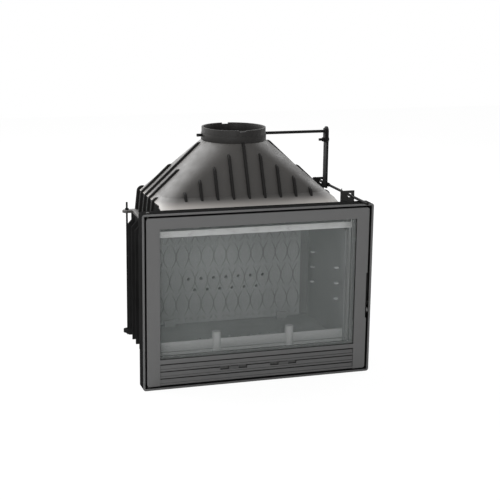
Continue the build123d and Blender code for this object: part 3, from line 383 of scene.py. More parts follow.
# The ribs take a darker copy of the hood's iron, painted shade on their forward faces.
rib_iron_painted_shade = casting("rib casting", 0.012, warm=0.035, mottle=0.25, sheen=0.12)
raw_iron = casting("raw casting", 0.014, **RAW)
left_plate_iron = casting("left plate casting", 0.014, land=plate_inner(RIGHT), land_tone=0.14, **RAW)
right_plate_iron = casting("right plate casting", 0.014, land=plate_inner(LEFT), land_tone=0.14, **RAW)
rear_iron = casting("rear plate casting", 0.014, land=beside_fireback, land_tone=0.12, **RAW)
collar_iron = casting("collar casting", 0.017, warm=0.05, mottle=0.4, sheen=0.2)
hearth_iron = casting("hearth casting", 0.2, land=sooty_top, land_tone=0.125, **LINED)
left_lining_iron_and_highlight = casting("left lining casting", 0.14, land=left_rack_highlight, land_tone=0.42, **LINED)
right_lining_iron_and_highlight = casting("right lining casting", 0.115, land=right_rack_highlight, land_tone=0.42, **LINED)
relief_iron = casting("relief casting", 0.095, warm=-0.01, gloss=0.6)
soot_iron = casting("sooty casting", 0.16, warm=-0.01, grain=0.0003, gloss=0.75, mottle=0.3)
fence_iron_and_painted_light = casting("fence casting", 0.12, land=fence_face_painted_light, land_tone=0.25)
post_iron = casting("post casting", 0.27)
print("materials", len(bpy.data.materials))

# %% [markdown]
# ## Glass and rope
# Heat-proof glass is clear with a faint film of ash.  A real refracting shader would stop the lamps at the
# pane and leave the firebox black, so this one is a thin clear coat: mostly transparent, with a glossy
# face.

# %% Glass and rope
DUST, YARNS = 5, 1200
GLASS_TINT = (0.62, 0.68, 0.66, 1)


def pane(name):
    """Clear glass, dusted a little."""
    finish = Finish(name)
    film = finish.ramp(finish.noise(DUST, detail=4, roughness=0.6), low=0.45, high=0.8)
    look = {"Base Color": GLASS_TINT, "Roughness": film * 0.06 + 0.03, "Alpha": film * 0.03 + 0.07}
    return finish.set(look)


def woven(name, tone):
    """Heat-proof tape and rope."""
    finish = Finish(name)
    weave = finish.noise(YARNS, detail=2)
    colour = finish.blend(weave, grey(tone * 0.7, 0.06), grey(tone, 0.04))
    relief = finish.bump(weave, distance=0.0004, strength=1.0)
    return finish.set({"Base Color": colour, "Roughness": 0.95, "Normal": relief})


clear_glass = pane("clear glass")
woven_rope = woven("woven rope", 0.5)
woven_tape = woven("graphite tape", 0.02)
print("materials", len(bpy.data.materials))

# %% [markdown]
# ## A finish for every node
# Each piece of the mechanical model gets one finish.  The rounded copies made further on keep it.

# %% Finishes for the frame's nodes
FINISHES = {
    door_paint_and_light: ("door_frame",),
    louvre_paint_and_light: ("louvre_panel",),
    rim_iron_and_painted_light: ("casing_flange",),
    hood_iron: ("hood",),
    collar_iron: ("flue_collar", "damper_flap"),
    raw_iron: ("base_plate", "air_box"),
    left_plate_iron: ("left_side_plate",),
    right_plate_iron: ("right_side_plate",),
    rear_iron: ("rear_plate",),
    hearth_iron: ("fireback", "smoke_baffle"),
    left_lining_iron_and_highlight: ("lining_left",),
    right_lining_iron_and_highlight: ("lining_right",),
    soot_iron: ("hearth_plate",),
    fence_iron_and_painted_light: ("log_fence",),
    post_iron: ("fence_post_left", "fence_post_right"),
    black_steel: (
        "damper_shaft", "damper_lever", "lever_clamp", "lever_bolt", "lever_nut", "control_rod",
        "rod_collar", "rod_stop_pin", "latch_lever", "rod_bracket_rear", "tie_rods", "tie_nuts",
    ),
    bracket_steel: ("rod_bracket_front", "hinge_pin_top", "hinge_pin_bottom"),
    dull_steel: ("bracket_screws", "air_plate", "front_bolts", "flap_screws"),
    zinc_steel: ("latch_pin", "catch_stud", "clip_screws", "glass_clips"),
    register_steel: ("air_slide_left", "air_slide_right"),
    strip_steel: ("air_wash_strip",),
    clear_glass: ("door_glass",),
    woven_tape: ("glass_gasket",),
    woven_rope: ("door_seal",),
}


def dress(obj, material):
    """Give an object one material."""
    obj.data.materials.clear()
    obj.data.materials.append(material)


for material, names in FINISHES.items():
    for name in names:
        dress(nodes[name], material)
bare = sorted(set(nodes) - {name for names in FINISHES.values() for name in names})
print("nodes without a finish:", bare)

# %% [markdown]
# ## Recipes for repeated shapes
# Ribs, lens-shaped relief, rope strands and screw threads all repeat one small shape along a rule.
# Geometry Nodes suit them: a short tree says what happens to a path, and named sizes can be changed
# afterwards.  This class writes such a tree, and keeps its result as a plain mesh.

# %% Recipes
WELD = 0.00001


def applied(carrier):
    """The mesh that an object's modifier gives.  The object itself goes."""
    graph = bpy.context.evaluated_depsgraph_get()
    mesh = bpy.data.meshes.new_from_object(carrier.evaluated_get(graph), depsgraph=graph)
    bpy.data.objects.remove(carrier)
    return mesh


class Recipe(Graph):
    """A Geometry Nodes tree, with named sizes."""

    def __init__(self, name):
        super().__init__(bpy.data.node_groups.new(name, "GeometryNodeTree"))
        face = self.tree.interface
        face.new_socket("Geometry", in_out="INPUT", socket_type="NodeSocketGeometry")
        face.new_socket("Geometry", in_out="OUTPUT", socket_type="NodeSocketGeometry")
        self.source = self.tree.nodes.new("NodeGroupInput")
        self.sink = self.tree.nodes.new("NodeGroupOutput")
        self.values = {}
        self.sockets = {}

    @property
    def path(self):
        """The geometry that the tree starts from."""
        return Wire(self, self.source.outputs["Geometry"])

    def size(self, name, value):
        """A named size that can be changed on the modifier."""
        kind = "NodeSocketInt" if isinstance(value, int) else "NodeSocketFloat"
        item = self.tree.interface.new_socket(name, in_out="INPUT", socket_type=kind)
        self.values[name] = value
        self.sockets[name] = item.identifier
        return Wire(self, self.source.outputs[name])

    def place(self, axis):
        """Each point's X, Y or Z."""
        spot = self.node("GeometryNodeInputPosition", {})
        return self.node("ShaderNodeSeparateXYZ", {0: spot}, result=axis)

    def sweep(self, curve, section, scale=1.0):
        """A section drawn along a curve, with closed ends."""
        sockets = {"Curve": curve, "Profile Curve": section, "Scale": scale, "Fill Caps": True}
        return self.node("GeometryNodeCurveToMesh", sockets)

    def finish(self, geometry, material):
        """End the tree: real geometry without doubled points, smooth faces and a material."""
        real = self.node("GeometryNodeRealizeInstances", {"Geometry": geometry})
        merged = self.node("GeometryNodeMergeByDistance", {"Geometry": real, "Distance": WELD})
        smooth = self.node("GeometryNodeSetShadeSmooth", {"Geometry": merged})
        dressed = self.node("GeometryNodeSetMaterial", {"Geometry": smooth, "Material": material})
        self.feed(self.sink.inputs["Geometry"], dressed)

    def make(self, name, mesh, changes=None):
        """Run the tree on a mesh, with changed sizes if given, and keep a plain object."""
        carrier = add_object(name + "_source", mesh)
        modifier = carrier.modifiers.new("recipe", "NODES")
        modifier.node_group = self.tree
        for title, value in (self.values | (changes or {})).items():
            modifier[self.sockets[title]] = value
        result = applied(carrier)
        result.name = name
        return add_object(name, result)


def path_mesh(name, paths):
    """A mesh of loose edges, one chain for each path."""
    points, edges = [], []
    for path in paths:
        start = len(points)
        points += path
        edges += [(start + step, start + step + 1) for step in range(len(path) - 1)]
    mesh = bpy.data.meshes.new(name)
    mesh.from_pydata(points, edges, [])
    return mesh


def place_piece(piece, body, slot_name, *nodes_replaced):
    """Say what a finished piece rides on and which nodes it stands for; the slot name is not used."""
    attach(piece, body)
    if nodes_replaced:
        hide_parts(*nodes_replaced)
    triangles = sum(len(face.vertices) - 2 for face in piece.data.polygons)
    print(piece.name, triangles, "triangles")


print("merge within", WELD, "m")

# %% [markdown]
# ## Smoke hood
# The hood is one casting: a short skirt, a ledge in front that sweeps up into the slope, and four flat
# triangles that lean in to the round collar with quarter cones between them.  A ring of points at each
# height, with the same count all round, makes flats and cones in one go, so the wall is a stack of rings
# outside and another inside.

# %% Hood rings
MM = 0.001
RING_STEPS = 14

HOOD_FOOT = 281 * MM
HOOD_KNEE = 274 * MM
HOOD_TOP_ROUND = 98 * MM
HOOD_BORE = 92 * MM
HOOD_WALL = 8 * MM
KNEE_RISE = 69 * MM
LEDGE_DROP = 11 * MM
LEDGE_LENGTH = 69 * MM
EAR_OVERHANG = 7 * MM
FRONT_CORNER = 44 * MM
REAR_CORNER = 10 * MM
INNER_CORNER = HOOD_WALL / 4
SLOPE_SHARES = (0.3, 0.45, 0.6, 0.8, 1.0)
FLARE_STEPS = 9
FLARE_RISE = 29 * MM
FLARE_BEND = 1.7

flange_low, flange_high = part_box("hood")
collar_low, collar_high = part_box("flue_collar")
foot_z = flange_low[2]
knee_z = foot_z + KNEE_RISE
ledge_z = knee_z - LEDGE_DROP
top_z = collar_low[2]
skirt_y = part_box("casing_flange")[1][1]
rear_y = flange_high[1] - EAR_OVERHANG
collar_y = (collar_low[1] + collar_high[1]) / 2
slope_y = skirt_y + LEDGE_LENGTH


def hood_ring(half, front, rear, front_round, rear_round, height):
    """Points round a rectangle with rounded corners, from the right front corner on."""
    ring = []
    for side, end, radius, start in (
        (1, -1, front_round, -90), (1, 1, rear_round, 0), (-1, 1, rear_round, 90), (-1, -1, front_round, 180)
    ):
        centre_x = side * (half - radius)
        centre_y = front + radius if end < 0 else rear - radius
        for step in range(RING_STEPS + 1):
            angle = math.radians(start + 90 * step / RING_STEPS)
            x = centre_x + radius * math.cos(angle)
            y = centre_y + radius * math.sin(angle)
            ring.append(Vector((x, y, height)))
    return ring


def collar_ring(radius, height):
    """A circle about the collar's axis, with the same count of points."""
    return hood_ring(radius, collar_y - radius, collar_y + radius, radius, radius, height)


def between(first, second, share):
    """A ring part of the way from one ring to another."""
    return [a.lerp(b, share) for a, b in zip(first, second)]


def skirt_half(height):
    """Half width of the skirt, which leans in a little."""
    return HOOD_FOOT + (HOOD_KNEE - HOOD_FOOT) * (height - foot_z) / (knee_z - foot_z)


def slope_front(height):
    """The front slope's place at a height."""
    share = (height - knee_z) / (top_z - knee_z)
    return slope_y + share * (collar_y - HOOD_TOP_ROUND - slope_y)


print("hood from", round(foot_z, 3), "to", round(top_z, 3))

# %% [markdown]
# Outside, the rings go up from the foot to the ledge, along the sweep and up the slope.  In the sweep, only
# the front half of each ring is moved.  Inside, they go down again.  A few faces then get a finish of their
# own: the ledge's upward faces a paler one, painted light where the top lamp falls, and the skirt's upright
# faces the darker raw one, rough and partly painted shade.

# %% Hood shell
knee_outline = hood_ring(HOOD_KNEE, slope_y, rear_y, FRONT_CORNER, REAR_CORNER, knee_z)
outer_top = collar_ring(HOOD_TOP_ROUND, top_z)

outer = [
    hood_ring(HOOD_FOOT, skirt_y, rear_y, HOOD_WALL, REAR_CORNER, foot_z),
    hood_ring(skirt_half(ledge_z), skirt_y, rear_y, HOOD_WALL, REAR_CORNER, ledge_z),
]
flare_depth = slope_front(ledge_z + FLARE_RISE) - skirt_y
for step in range(1, FLARE_STEPS + 1):
    front = skirt_y + flare_depth * step / FLARE_STEPS
    height = ledge_z + FLARE_RISE * (step / FLARE_STEPS) ** FLARE_BEND
    if height < knee_z:
        half_width = skirt_half(height)
        outer.append(hood_ring(half_width, front, rear_y, FRONT_CORNER, REAR_CORNER, height))
    else:
        ring = between(knee_outline, outer_top, (height - knee_z) / (top_z - knee_z))
        shift = Vector((0, front - slope_front(height), 0))
        corner = len(ring) // 4
        outer.append([p + shift if i < corner or i >= 3 * corner else p for i, p in enumerate(ring)])
outer += [between(knee_outline, outer_top, share) for share in SLOPE_SHARES]


def inner_ring(front, front_round, height):
    """The wall's inside at a height, below the slope."""
    half, rear = HOOD_KNEE - HOOD_WALL, rear_y - HOOD_WALL
    return hood_ring(half, front + HOOD_WALL, rear, front_round, INNER_CORNER, height)


inner = [
    collar_ring(HOOD_BORE, top_z),
    inner_ring(slope_y, FRONT_CORNER - HOOD_WALL, knee_z),
    inner_ring(slope_y, FRONT_CORNER - HOOD_WALL, ledge_z - HOOD_WALL),
    inner_ring(skirt_y, INNER_CORNER, ledge_z - HOOD_WALL),
    inner_ring(skirt_y, INNER_CORNER, foot_z),
]


def skin_rings(work, rings):
    """Join rings into one closed tube."""
    rows = [[work.verts.new(point) for point in ring] for ring in rings]
    count = len(rows[0])
    for lower, upper in zip(rows, rows[1:] + rows[:1]):
        for index in range(count):
            after = (index + 1) % count
            work.faces.new((lower[index], lower[after], upper[after], upper[index]))


SHELL_WELD = 0.02 * MM
SHARP_ANGLE = math.radians(30)


def as_piece(work, name, material):
    """Merge, turn faces outwards, shade smooth up to an angle, and dress."""
    bmesh.ops.remove_doubles(work, verts=work.verts, dist=SHELL_WELD)
    bmesh.ops.dissolve_degenerate(work, edges=work.edges, dist=SHELL_WELD)
    bmesh.ops.recalc_face_normals(work, faces=work.faces)
    mesh = bpy.data.meshes.new(name)
    work.to_mesh(mesh)
    work.free()
    for face in mesh.polygons:
        face.use_smooth = True
    mesh.set_sharp_from_angle(angle=SHARP_ANGLE)
    piece = add_object(name, mesh)
    dress(piece, material)
    return piece


work = bmesh.new()
skin_rings(work, outer + inner)
hood_shell = as_piece(work, "hood_shell", hood_iron)
hood_shell.data.materials.append(ledge_iron_painted_light)
hood_shell.data.materials.append(raw_iron)
LIT_LEDGE_INDEX, SHADED_SKIRT_INDEX = 1, 2
STEEP = 0.5
for face in hood_shell.data.polygons:
    # Upward faces on the ledge get the paler finish: painted light where the top lamp falls.
    on_ledge = ledge_z - 1 * MM < face.center.z < ledge_z + FLARE_RISE and face.normal.z > STEEP
    if on_ledge and face.center.y < collar_y and abs(face.center.x) < HOOD_KNEE:
        face.material_index = LIT_LEDGE_INDEX
    # Upright faces of the skirt get the darker raw finish: rough, and partly painted shade.
    elif face.center.z < knee_z and abs(face.normal.z) < STEEP:
        face.material_index = SHADED_SKIRT_INDEX
place_piece(hood_shell, "stove", "raw_iron", "hood")

# %% [markdown]
# ## Foot of the hood
# The foot flange is a flat plate with a round ear at each rear corner for a tie rod.  Two small pads on the
# right side carry the rod's brackets, and two webs close the casing's opening beside the skirt.  The
# plate's outline is drawn once and given its thickness and a soft rim; pads and webs are plain blocks.

# %% Hood flange and pads
FLANGE_METAL = 8 * MM
FLANGE_HALF = 299 * MM
FLANGE_EDGE = 2.5 * MM
EAR_ROUND = 14 * MM
EAR_STEPS = 16
ROD_RADIUS = 3 * MM
PAD_PROUD = 3 * MM
PAD_DEPTH = 28 * MM
PAD_MARGIN = 3 * MM
PAD_HEIGHTS = (12 * MM, 50 * MM)
WEB_METAL = 5 * MM
BLOCK_EDGE = 1 * MM
rods_low, rods_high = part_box("tie_rods")
ear_x = rods_high[0] - ROD_RADIUS
ear_y = (rods_low[1] + rods_high[1]) / 2


def flange_outline():
    """Points round the flange plate, from the left front corner on."""
    points = [(-FLANGE_HALF, skirt_y), (FLANGE_HALF, skirt_y), (FLANGE_HALF, ear_y - EAR_ROUND)]
    for step in range(EAR_STEPS + 1):
        angle = math.radians(-90 + 180 * step / EAR_STEPS)
        points.append((ear_x + EAR_ROUND * math.cos(angle), ear_y + EAR_ROUND * math.sin(angle)))
    points += [(-x, y) for x, y in reversed(points[2:])]
    return points


def soft_plate(work, outline, low, high):
    """A flat plate from an outline, with a bevelled rim."""
    base = work.faces.new([work.verts.new((x, y, low)) for x, y in outline])
    made = bmesh.ops.extrude_face_region(work, geom=[base])["geom"]
    top = [item for item in made if isinstance(item, bmesh.types.BMVert)]
    bmesh.ops.translate(work, verts=top, vec=(0, 0, high - low))
    lid = [item for item in made if isinstance(item, bmesh.types.BMFace)]
    rim = [e for face in lid for e in face.edges]
    bmesh.ops.bevel(work, geom=rim, offset=FLANGE_EDGE, segments=3, profile=0.5, affect="EDGES")


def block(work, low, high):
    """A box with bevelled edges."""
    made = bmesh.ops.create_cube(work, size=1)["verts"]
    for vert in made:
        vert.co = Vector([low[axis] if vert.co[axis] < 0 else high[axis] for axis in range(3)])
    edges = {e for v in made for e in v.link_edges}
    bmesh.ops.bevel(work, geom=list(edges), offset=BLOCK_EDGE, segments=2, profile=0.5, affect="EDGES")


work = bmesh.new()
soft_plate(work, flange_outline(), foot_z, foot_z + FLANGE_METAL)
wall_inside = HOOD_FOOT - HOOD_WALL
for bracket in ("rod_bracket_front", "rod_bracket_rear"):
    pad_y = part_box(bracket)[0][1] - PAD_MARGIN
    block(work, (wall_inside, pad_y, foot_z + PAD_HEIGHTS[0]),
          (HOOD_FOOT + PAD_PROUD, pad_y + PAD_DEPTH, foot_z + PAD_HEIGHTS[1]))
strip_low, strip_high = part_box("air_wash_strip")
glass_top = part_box("door_glass")[1][2]
for low_x, high_x in ((wall_inside, strip_high[0]), (strip_low[0], -wall_inside)):
    block(work, (low_x, skirt_y, foot_z + FLANGE_METAL / 2), (high_x, skirt_y + WEB_METAL, glass_top))
hood_flange = as_piece(work, "hood_flange", hood_iron)
place_piece(hood_flange, "stove", "raw_iron")

# %% [markdown]
# ## Ribs of the hood
# Every rib is a rounded bar that rises out of the wall, runs up it and sinks back at its top.  Each reaches
# as high as the flat triangle is tall at its place, and the side ribs stand lower.  The script works out
# the spines; the recipe rounds their corners and draws one rounded section along all of them.

# %% Rib recipe
ribs = Recipe("hood ribs")
rib_width = ribs.size("Rib width", 7.4 * MM)
rib_height = ribs.size("Rib height", 15 * MM)
rib_round = ribs.size("Rib round", 1.7 * MM)
bend_round = ribs.size("Bend round", 10 * MM)
spine = ribs.node("GeometryNodeMeshToCurve", {"Mesh": ribs.path})
spine = ribs.node("GeometryNodeFilletCurve", {
    "Curve": spine, "Count": 6, "Radius": bend_round, "Limit Radius": True}, mode="POLY")
spine = ribs.node("GeometryNodeSetCurveNormal", {"Curve": spine}, mode="Z_UP")
section = ribs.node("GeometryNodeCurvePrimitiveQuadrilateral", {"Width": rib_width, "Height": rib_height})
section = ribs.node("GeometryNodeFilletCurve", {
    "Curve": section, "Count": 4, "Radius": rib_round, "Limit Radius": True}, mode="POLY")
ribs.finish(ribs.sweep(spine, section), rib_iron_painted_shade)
print("rib sizes:", list(ribs.values))

# %% Rib spines
FRONT_RIBS = 9
FRONT_RIB_BASE = 238 * MM
FRONT_RIB_FIRST = 194 * MM
SIDE_RIBS = 5
SIDE_RIB_PITCH = 50 * MM
SIDE_RIB_BASE = 108 * MM
RIB_PROUD = 2.5 * MM
RIB_SUNK = 5 * MM
RIB_DIP = 7 * MM
RIB_FOOT = 1 * MM
SIDE_RIB_HEIGHT = 8.5 * MM


def offset_spine(wall, proud):
    """Move a line of wall points outwards; each corner goes where the two moved walls meet."""
    normals = []
    for (u, z), (next_u, next_z) in zip(wall, wall[1:]):
        length = math.hypot(next_u - u, next_z - z)
        normals.append(((next_z - z) / length, (u - next_u) / length))
    moved = [(wall[0][0] + normals[0][0] * proud, wall[0][1] + normals[0][1] * proud)]
    for (u, z), (ax, az), (bx, bz) in zip(wall[1:-1], normals, normals[1:]):
        share = proud / (1 + ax * bx + az * bz)
        moved.append((u + (ax + bx) * share, z + (az + bz) * share))
    moved.append((wall[-1][0] + normals[-1][0] * proud, wall[-1][1] + normals[-1][1] * proud))
    return moved, normals


def rib_spine(wall):
    """A spine that follows the wall and sinks back into it at the top."""
    moved, normals = offset_spine(wall, RIB_PROUD)
    end_u, end_z = moved[-1]
    nu, nz = normals[-1]
    moved[-1] = (end_u + nz * RIB_DIP, end_z - nu * RIB_DIP)
    moved.append((end_u - nu * (RIB_PROUD + RIB_SUNK), end_z - nz * (RIB_PROUD + RIB_SUNK)))
    return moved


spines = []
base_z = knee_z + RIB_FOOT
for index in range(FRONT_RIBS):
    x = FRONT_RIB_FIRST * (2 * index / (FRONT_RIBS - 1) - 1)
    tip_z = knee_z + (1 - abs(x) / FRONT_RIB_BASE) * (top_z - knee_z) - RIB_FOOT
    wall = [(-slope_front(base_z), base_z), (-slope_front(tip_z), tip_z)]
    nu, nz = offset_spine(wall, 0)[1][0]
    buried = (wall[0][0] - nu * RIB_SUNK, wall[0][1] - nz * RIB_SUNK)
    spines.append([(x, -u, z) for u, z in [buried] + rib_spine(wall)])
front_ribs = ribs.make("hood_front_ribs", path_mesh("front rib spines", spines))
place_piece(front_ribs, "stove", "raw_iron")

spines = []
for side in (-1, 1):
    for index in range(SIDE_RIBS):
        shift = (index - (SIDE_RIBS - 1) / 2) * SIDE_RIB_PITCH
        tip_z = knee_z + (1 - abs(shift) / SIDE_RIB_BASE) * (top_z - knee_z - RIB_DIP)
        share = (tip_z - knee_z) / (top_z - knee_z)
        tip_u = HOOD_KNEE + share * (HOOD_TOP_ROUND - HOOD_KNEE)
        wall = [(HOOD_FOOT, foot_z + FLANGE_METAL / 2), (HOOD_KNEE, knee_z), (tip_u, tip_z)]
        spines.append([(side * u, collar_y + shift, z) for u, z in rib_spine(wall)])
side_ribs = ribs.make("hood_side_ribs", path_mesh("side rib spines", spines), {"Rib height": SIDE_RIB_HEIGHT})
place_piece(side_ribs, "stove", "raw_iron")

# %% [markdown]
# ## Relief of the fireback
# The back plate carries a cast pattern of upright lens shapes, in staggered rows.  One lens is an outline
# of two arcs; the recipe puts it on a grid, shifts every second row by half a lens, cuts off what passes
# the plate's edges and draws a low round bead along the rest.

# %% Fireback relief
VENT_ROW = 145 * MM
BEAD_DEPTH = 12 * MM
THINNEST_BEAD = 0.2
LENS_HALF = 20.2 * MM
LENS_HEIGHT = 88 * MM
LENS_STEPS = 12
TIP_CUT = 0.42
lattice = Recipe("fireback relief")
lens_width = lattice.size("Lens width", 41 * MM)
row_pitch = lattice.size("Row pitch", 78 * MM)
bead_radius = lattice.size("Bead radius", 1.8 * MM)
columns = lattice.size("Columns", 13)
rows = lattice.size("Rows", 5)
across = lens_width * (columns - 1.0)
upwards = row_pitch * (rows - 1.0)
grid = lattice.node("GeometryNodeMeshGrid", {
    "Size X": across, "Size Y": upwards, "Vertices X": columns, "Vertices Y": rows})
row_number = lattice.math("ROUND", lattice.place("Y") / row_pitch)
odd = lattice.math("ABSOLUTE", lattice.math("MODULO", row_number, 2.0))
stagger = lattice.node("ShaderNodeCombineXYZ", {"X": lens_width * 0.5 * odd})
grid = lattice.node("GeometryNodeSetPosition", {"Geometry": grid, "Offset": stagger})
lenses = lattice.node("GeometryNodeInstanceOnPoints", {"Points": grid, "Instance": lattice.path})
lenses = lattice.node("GeometryNodeRealizeInstances", {"Geometry": lenses})
plate_x = lattice.size("Plate half width", 247 * MM)
plate_y = lattice.size("Plate half height", 169 * MM)
plate_rise = lattice.size("Plate centre over the middle row", 32.5 * MM)
beyond_x = lattice.math("GREATER_THAN", lattice.math("ABSOLUTE", lattice.place("X")), plate_x)
beyond_y = lattice.math("GREATER_THAN", lattice.math("ABSOLUTE", lattice.place("Y") - plate_rise), plate_y)
beyond = lattice.math("GREATER_THAN", beyond_x + beyond_y, 0.5)
lenses = lattice.node("GeometryNodeDeleteGeometry", {"Geometry": lenses, "Selection": beyond}, domain="POINT")
beads = lattice.node("GeometryNodeMeshToCurve", {"Mesh": lenses})
bead_section = lattice.node("GeometryNodeCurvePrimitiveCircle", {"Resolution": 8, "Radius": bead_radius})
along = lattice.node("GeometryNodeSplineParameter", {}, result="Factor")
to_end = lattice.math("SUBTRACT", 1.0, along)
swell = lattice.math("POWER", along * to_end * 4.0, 0.5)
swell = lattice.math("MAXIMUM", swell, THINNEST_BEAD)
beads = lattice.sweep(beads, bead_section, swell)
upright = lattice.node("GeometryNodeTransform", {"Geometry": beads, "Rotation": (math.radians(90), 0, 0)})
plate_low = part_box("fireback")[0]
spot = (0, plate_low[1] + BEAD_DEPTH, plate_low[2] + VENT_ROW)
placed = lattice.node("GeometryNodeTransform", {"Geometry": upright, "Translation": spot})
lattice.finish(placed, relief_iron)

arcs = []
for side in (-1, 1):
    arc = []
    for step in range(LENS_STEPS + 1):
        height = (2 * step / LENS_STEPS - 1) * TIP_CUT * LENS_HEIGHT
        arc.append((side * LENS_HALF * math.cos(math.pi * height / LENS_HEIGHT), height, 0))
    arcs.append(arc)
relief = lattice.make("fireback_relief", path_mesh("lens", arcs))
place_piece(relief, "stove", "raw_iron")

# %% [markdown]
# ## Seal rope
# The door's seal is a rope of heat-proof yarn.  Three strands wind round each other along a rounded
# rectangle.  The recipe takes that path, samples it evenly, and pushes each strand sideways round a circle
# that turns as the path goes on.

# %% Seal rope
ROPE_GAP = 2 * MM
ROPE_SAMPLE = 3.2 * MM
rope = Recipe("seal rope")
strand_radius = rope.size("Strand radius", 2.3 * MM)
strand_orbit = rope.size("Strand orbit", 1.6 * MM)
turns_per_metre = rope.size("Turns per metre", 45.0)
corner_round = rope.size("Corner round", 14 * MM)
strands = rope.size("Strands", 3)
core = rope.node("GeometryNodeMeshToCurve", {"Mesh": rope.path})
core = rope.node("GeometryNodeFilletCurve", {"Curve": core, "Count": 6, "Radius": corner_round}, mode="POLY")
core = rope.node("GeometryNodeResampleCurve", {"Curve": core, "Length": ROPE_SAMPLE}, mode="LENGTH")
copies = rope.node("GeometryNodeDuplicateElements", {"Geometry": core, "Amount": strands}, domain="SPLINE")
strand_index = Wire(rope, copies.socket.node.outputs["Duplicate Index"])
run = rope.node("GeometryNodeSplineParameter", {}, result="Length")
angle = run * turns_per_metre * math.tau + strand_index * math.tau / strands
normal = rope.node("GeometryNodeInputNormal", {}, result="Normal")
tangent = rope.node("GeometryNodeInputTangent", {})
sideways = rope.node("ShaderNodeVectorMath", {0: normal, 1: tangent}, operation="CROSS_PRODUCT")
parts = []
for axis, wave in ((normal, "COSINE"), (sideways, "SINE")):
    reach = rope.math(wave, angle) * strand_orbit
    parts.append(rope.node("ShaderNodeVectorMath", {0: axis, "Scale": reach}, operation="SCALE"))
push = rope.node("ShaderNodeVectorMath", {0: parts[0], 1: parts[1]}, operation="ADD")
yarns = rope.node("GeometryNodeSetPosition", {"Geometry": copies, "Offset": push})
yarn_section = rope.node("GeometryNodeCurvePrimitiveCircle", {"Resolution": 8, "Radius": strand_radius})
rope.finish(rope.sweep(yarns, yarn_section), woven_rope)

seal_low, seal_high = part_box("door_seal")
rope_half = (seal_high[1] - seal_low[1]) / 2
rope_y = (seal_low[1] + seal_high[1]) / 2
left, right = seal_low[0] + rope_half, seal_high[0] - rope_half
bottom, top = seal_low[2] + rope_half, seal_high[2] - rope_half
corners = ((0, bottom), (right, bottom), (right, top), (left, top), (left, bottom), (-ROPE_GAP, bottom))
rope_path = [(x, rope_y, z) for x, z in corners]
door_rope = rope.make("door_rope", path_mesh("rope path", [rope_path]))
place_piece(door_rope, "door", "rope", "door_seal")

# %% [markdown]
# ## Threads
# The tie rods and the lever's bolt have a thread where their nuts sit.  A thread is a fine spiral bead on
# the rod; the recipe makes one of a given length and turns it into place.

# %% Threads
THREAD_PITCH = 1.25 * MM
THREAD_BEAD = 0.4 * MM
ROD_CORE, BOLT_CORE = 2.8 * MM, 3.7 * MM
BOLT_THREAD = 11 * MM


def thread(name, radius, start, length, turn, body, slot_name):
    """A spiral bead round a rod, upwards from a point or turned another way."""
    recipe = Recipe(name)
    pitch = recipe.size("Pitch", THREAD_PITCH)
    run_length = recipe.size("Length", length)
    rod_round = recipe.size("Rod radius", radius)
    spiral = recipe.node("GeometryNodeCurveSpiral", {
        "Resolution": 12, "Rotations": run_length / pitch, "Start Radius": rod_round, "End Radius": rod_round,
        "Height": run_length})
    bead = recipe.node("GeometryNodeCurvePrimitiveCircle", {"Resolution": 4, "Radius": THREAD_BEAD})
    ridge = recipe.sweep(spiral, bead)
    placed = recipe.node("GeometryNodeTransform", {"Geometry": ridge, "Rotation": turn, "Translation": start})
    recipe.finish(placed, black_steel)
    piece = recipe.make(name, path_mesh(name, [[(0, 0, 0), (0, 0, radius)]]))
    place_piece(piece, body, slot_name)


ear_top = foot_z + FLANGE_METAL
rod_thread = rods_high[2] - ear_top - 1 * MM
for side, side_name in ((-1, "left"), (1, "right")):
    thread(f"tie_rod_thread_{side_name}", ROD_CORE, (side * ear_x, ear_y, ear_top), rod_thread, (0, 0, 0),
           "stove", "bright_steel")
bolt_low, bolt_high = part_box("lever_bolt")
bolt_start = (bolt_low[0], (bolt_low[1] + bolt_high[1]) / 2, (bolt_low[2] + bolt_high[2]) / 2)
thread("lever_bolt_thread", BOLT_CORE, bolt_start, BOLT_THREAD, (0, math.radians(90), 0),
       "damper", "dark_steel")

# %% [markdown]
# ## Softened castings
# A casting has no knife edges: the mould rounds every corner by a millimetre or so, and light catches
# there.  A copy of each plain node is merged, its flat areas are joined back into single faces, and a Bevel
# modifier rounds the sharp edges.  The copy stands for the node.  A small function may first move some of
# its points.

# %% Softened castings
FLAT_ANGLE = math.radians(2)
EDGE_ANGLE = math.radians(40)
CAST_EDGE, FRAME_EDGE, LINING_EDGE, LOUVRE_EDGE = 1.0 * MM, 1.2 * MM, 0.8 * MM, 0.4 * MM
DAMPER_EDGE, LATCH_EDGE = 0.7 * MM, 0.8 * MM


def softened(name, body, slot_name, width, segments=2, reshape=None):
    """A copy of a node with rounded edges, after a change of shape if one is given."""
    node = nodes[name]
    work = bmesh.new()
    work.from_mesh(node.data)
    bmesh.ops.remove_doubles(work, verts=work.verts, dist=WELD)
    bmesh.ops.dissolve_limit(work, angle_limit=FLAT_ANGLE, verts=work.verts, edges=work.edges)
    for face in work.faces:
        face.smooth = True
    if reshape:
        for vert in work.verts:
            reshape(vert.co)
    mesh = bpy.data.meshes.new(name + "_soft")
    work.to_mesh(mesh)
    work.free()
    source = add_object(name + "_bevel", mesh)
    rounding = source.modifiers.new("rounding", "BEVEL")
    rounding.width = width
    rounding.segments = segments
    rounding.limit_method = "ANGLE"
    rounding.angle_limit = EDGE_ANGLE
    rounding.harden_normals = True
    piece = add_object(name + "_cast", applied(source))
    dress(piece, node.data.materials[0])
    place_piece(piece, body, slot_name, name)


for name in ("casing_flange", "flue_collar", "log_fence"):
    softened(name, "stove", "raw_iron", CAST_EDGE)

# %% [markdown]
# ## Plates and linings of the firebox
# The side plates carry upright fins that reach as far out as the tie rods, and each lining has six small
# ledges for a cooking rack, which are short and stand well out.

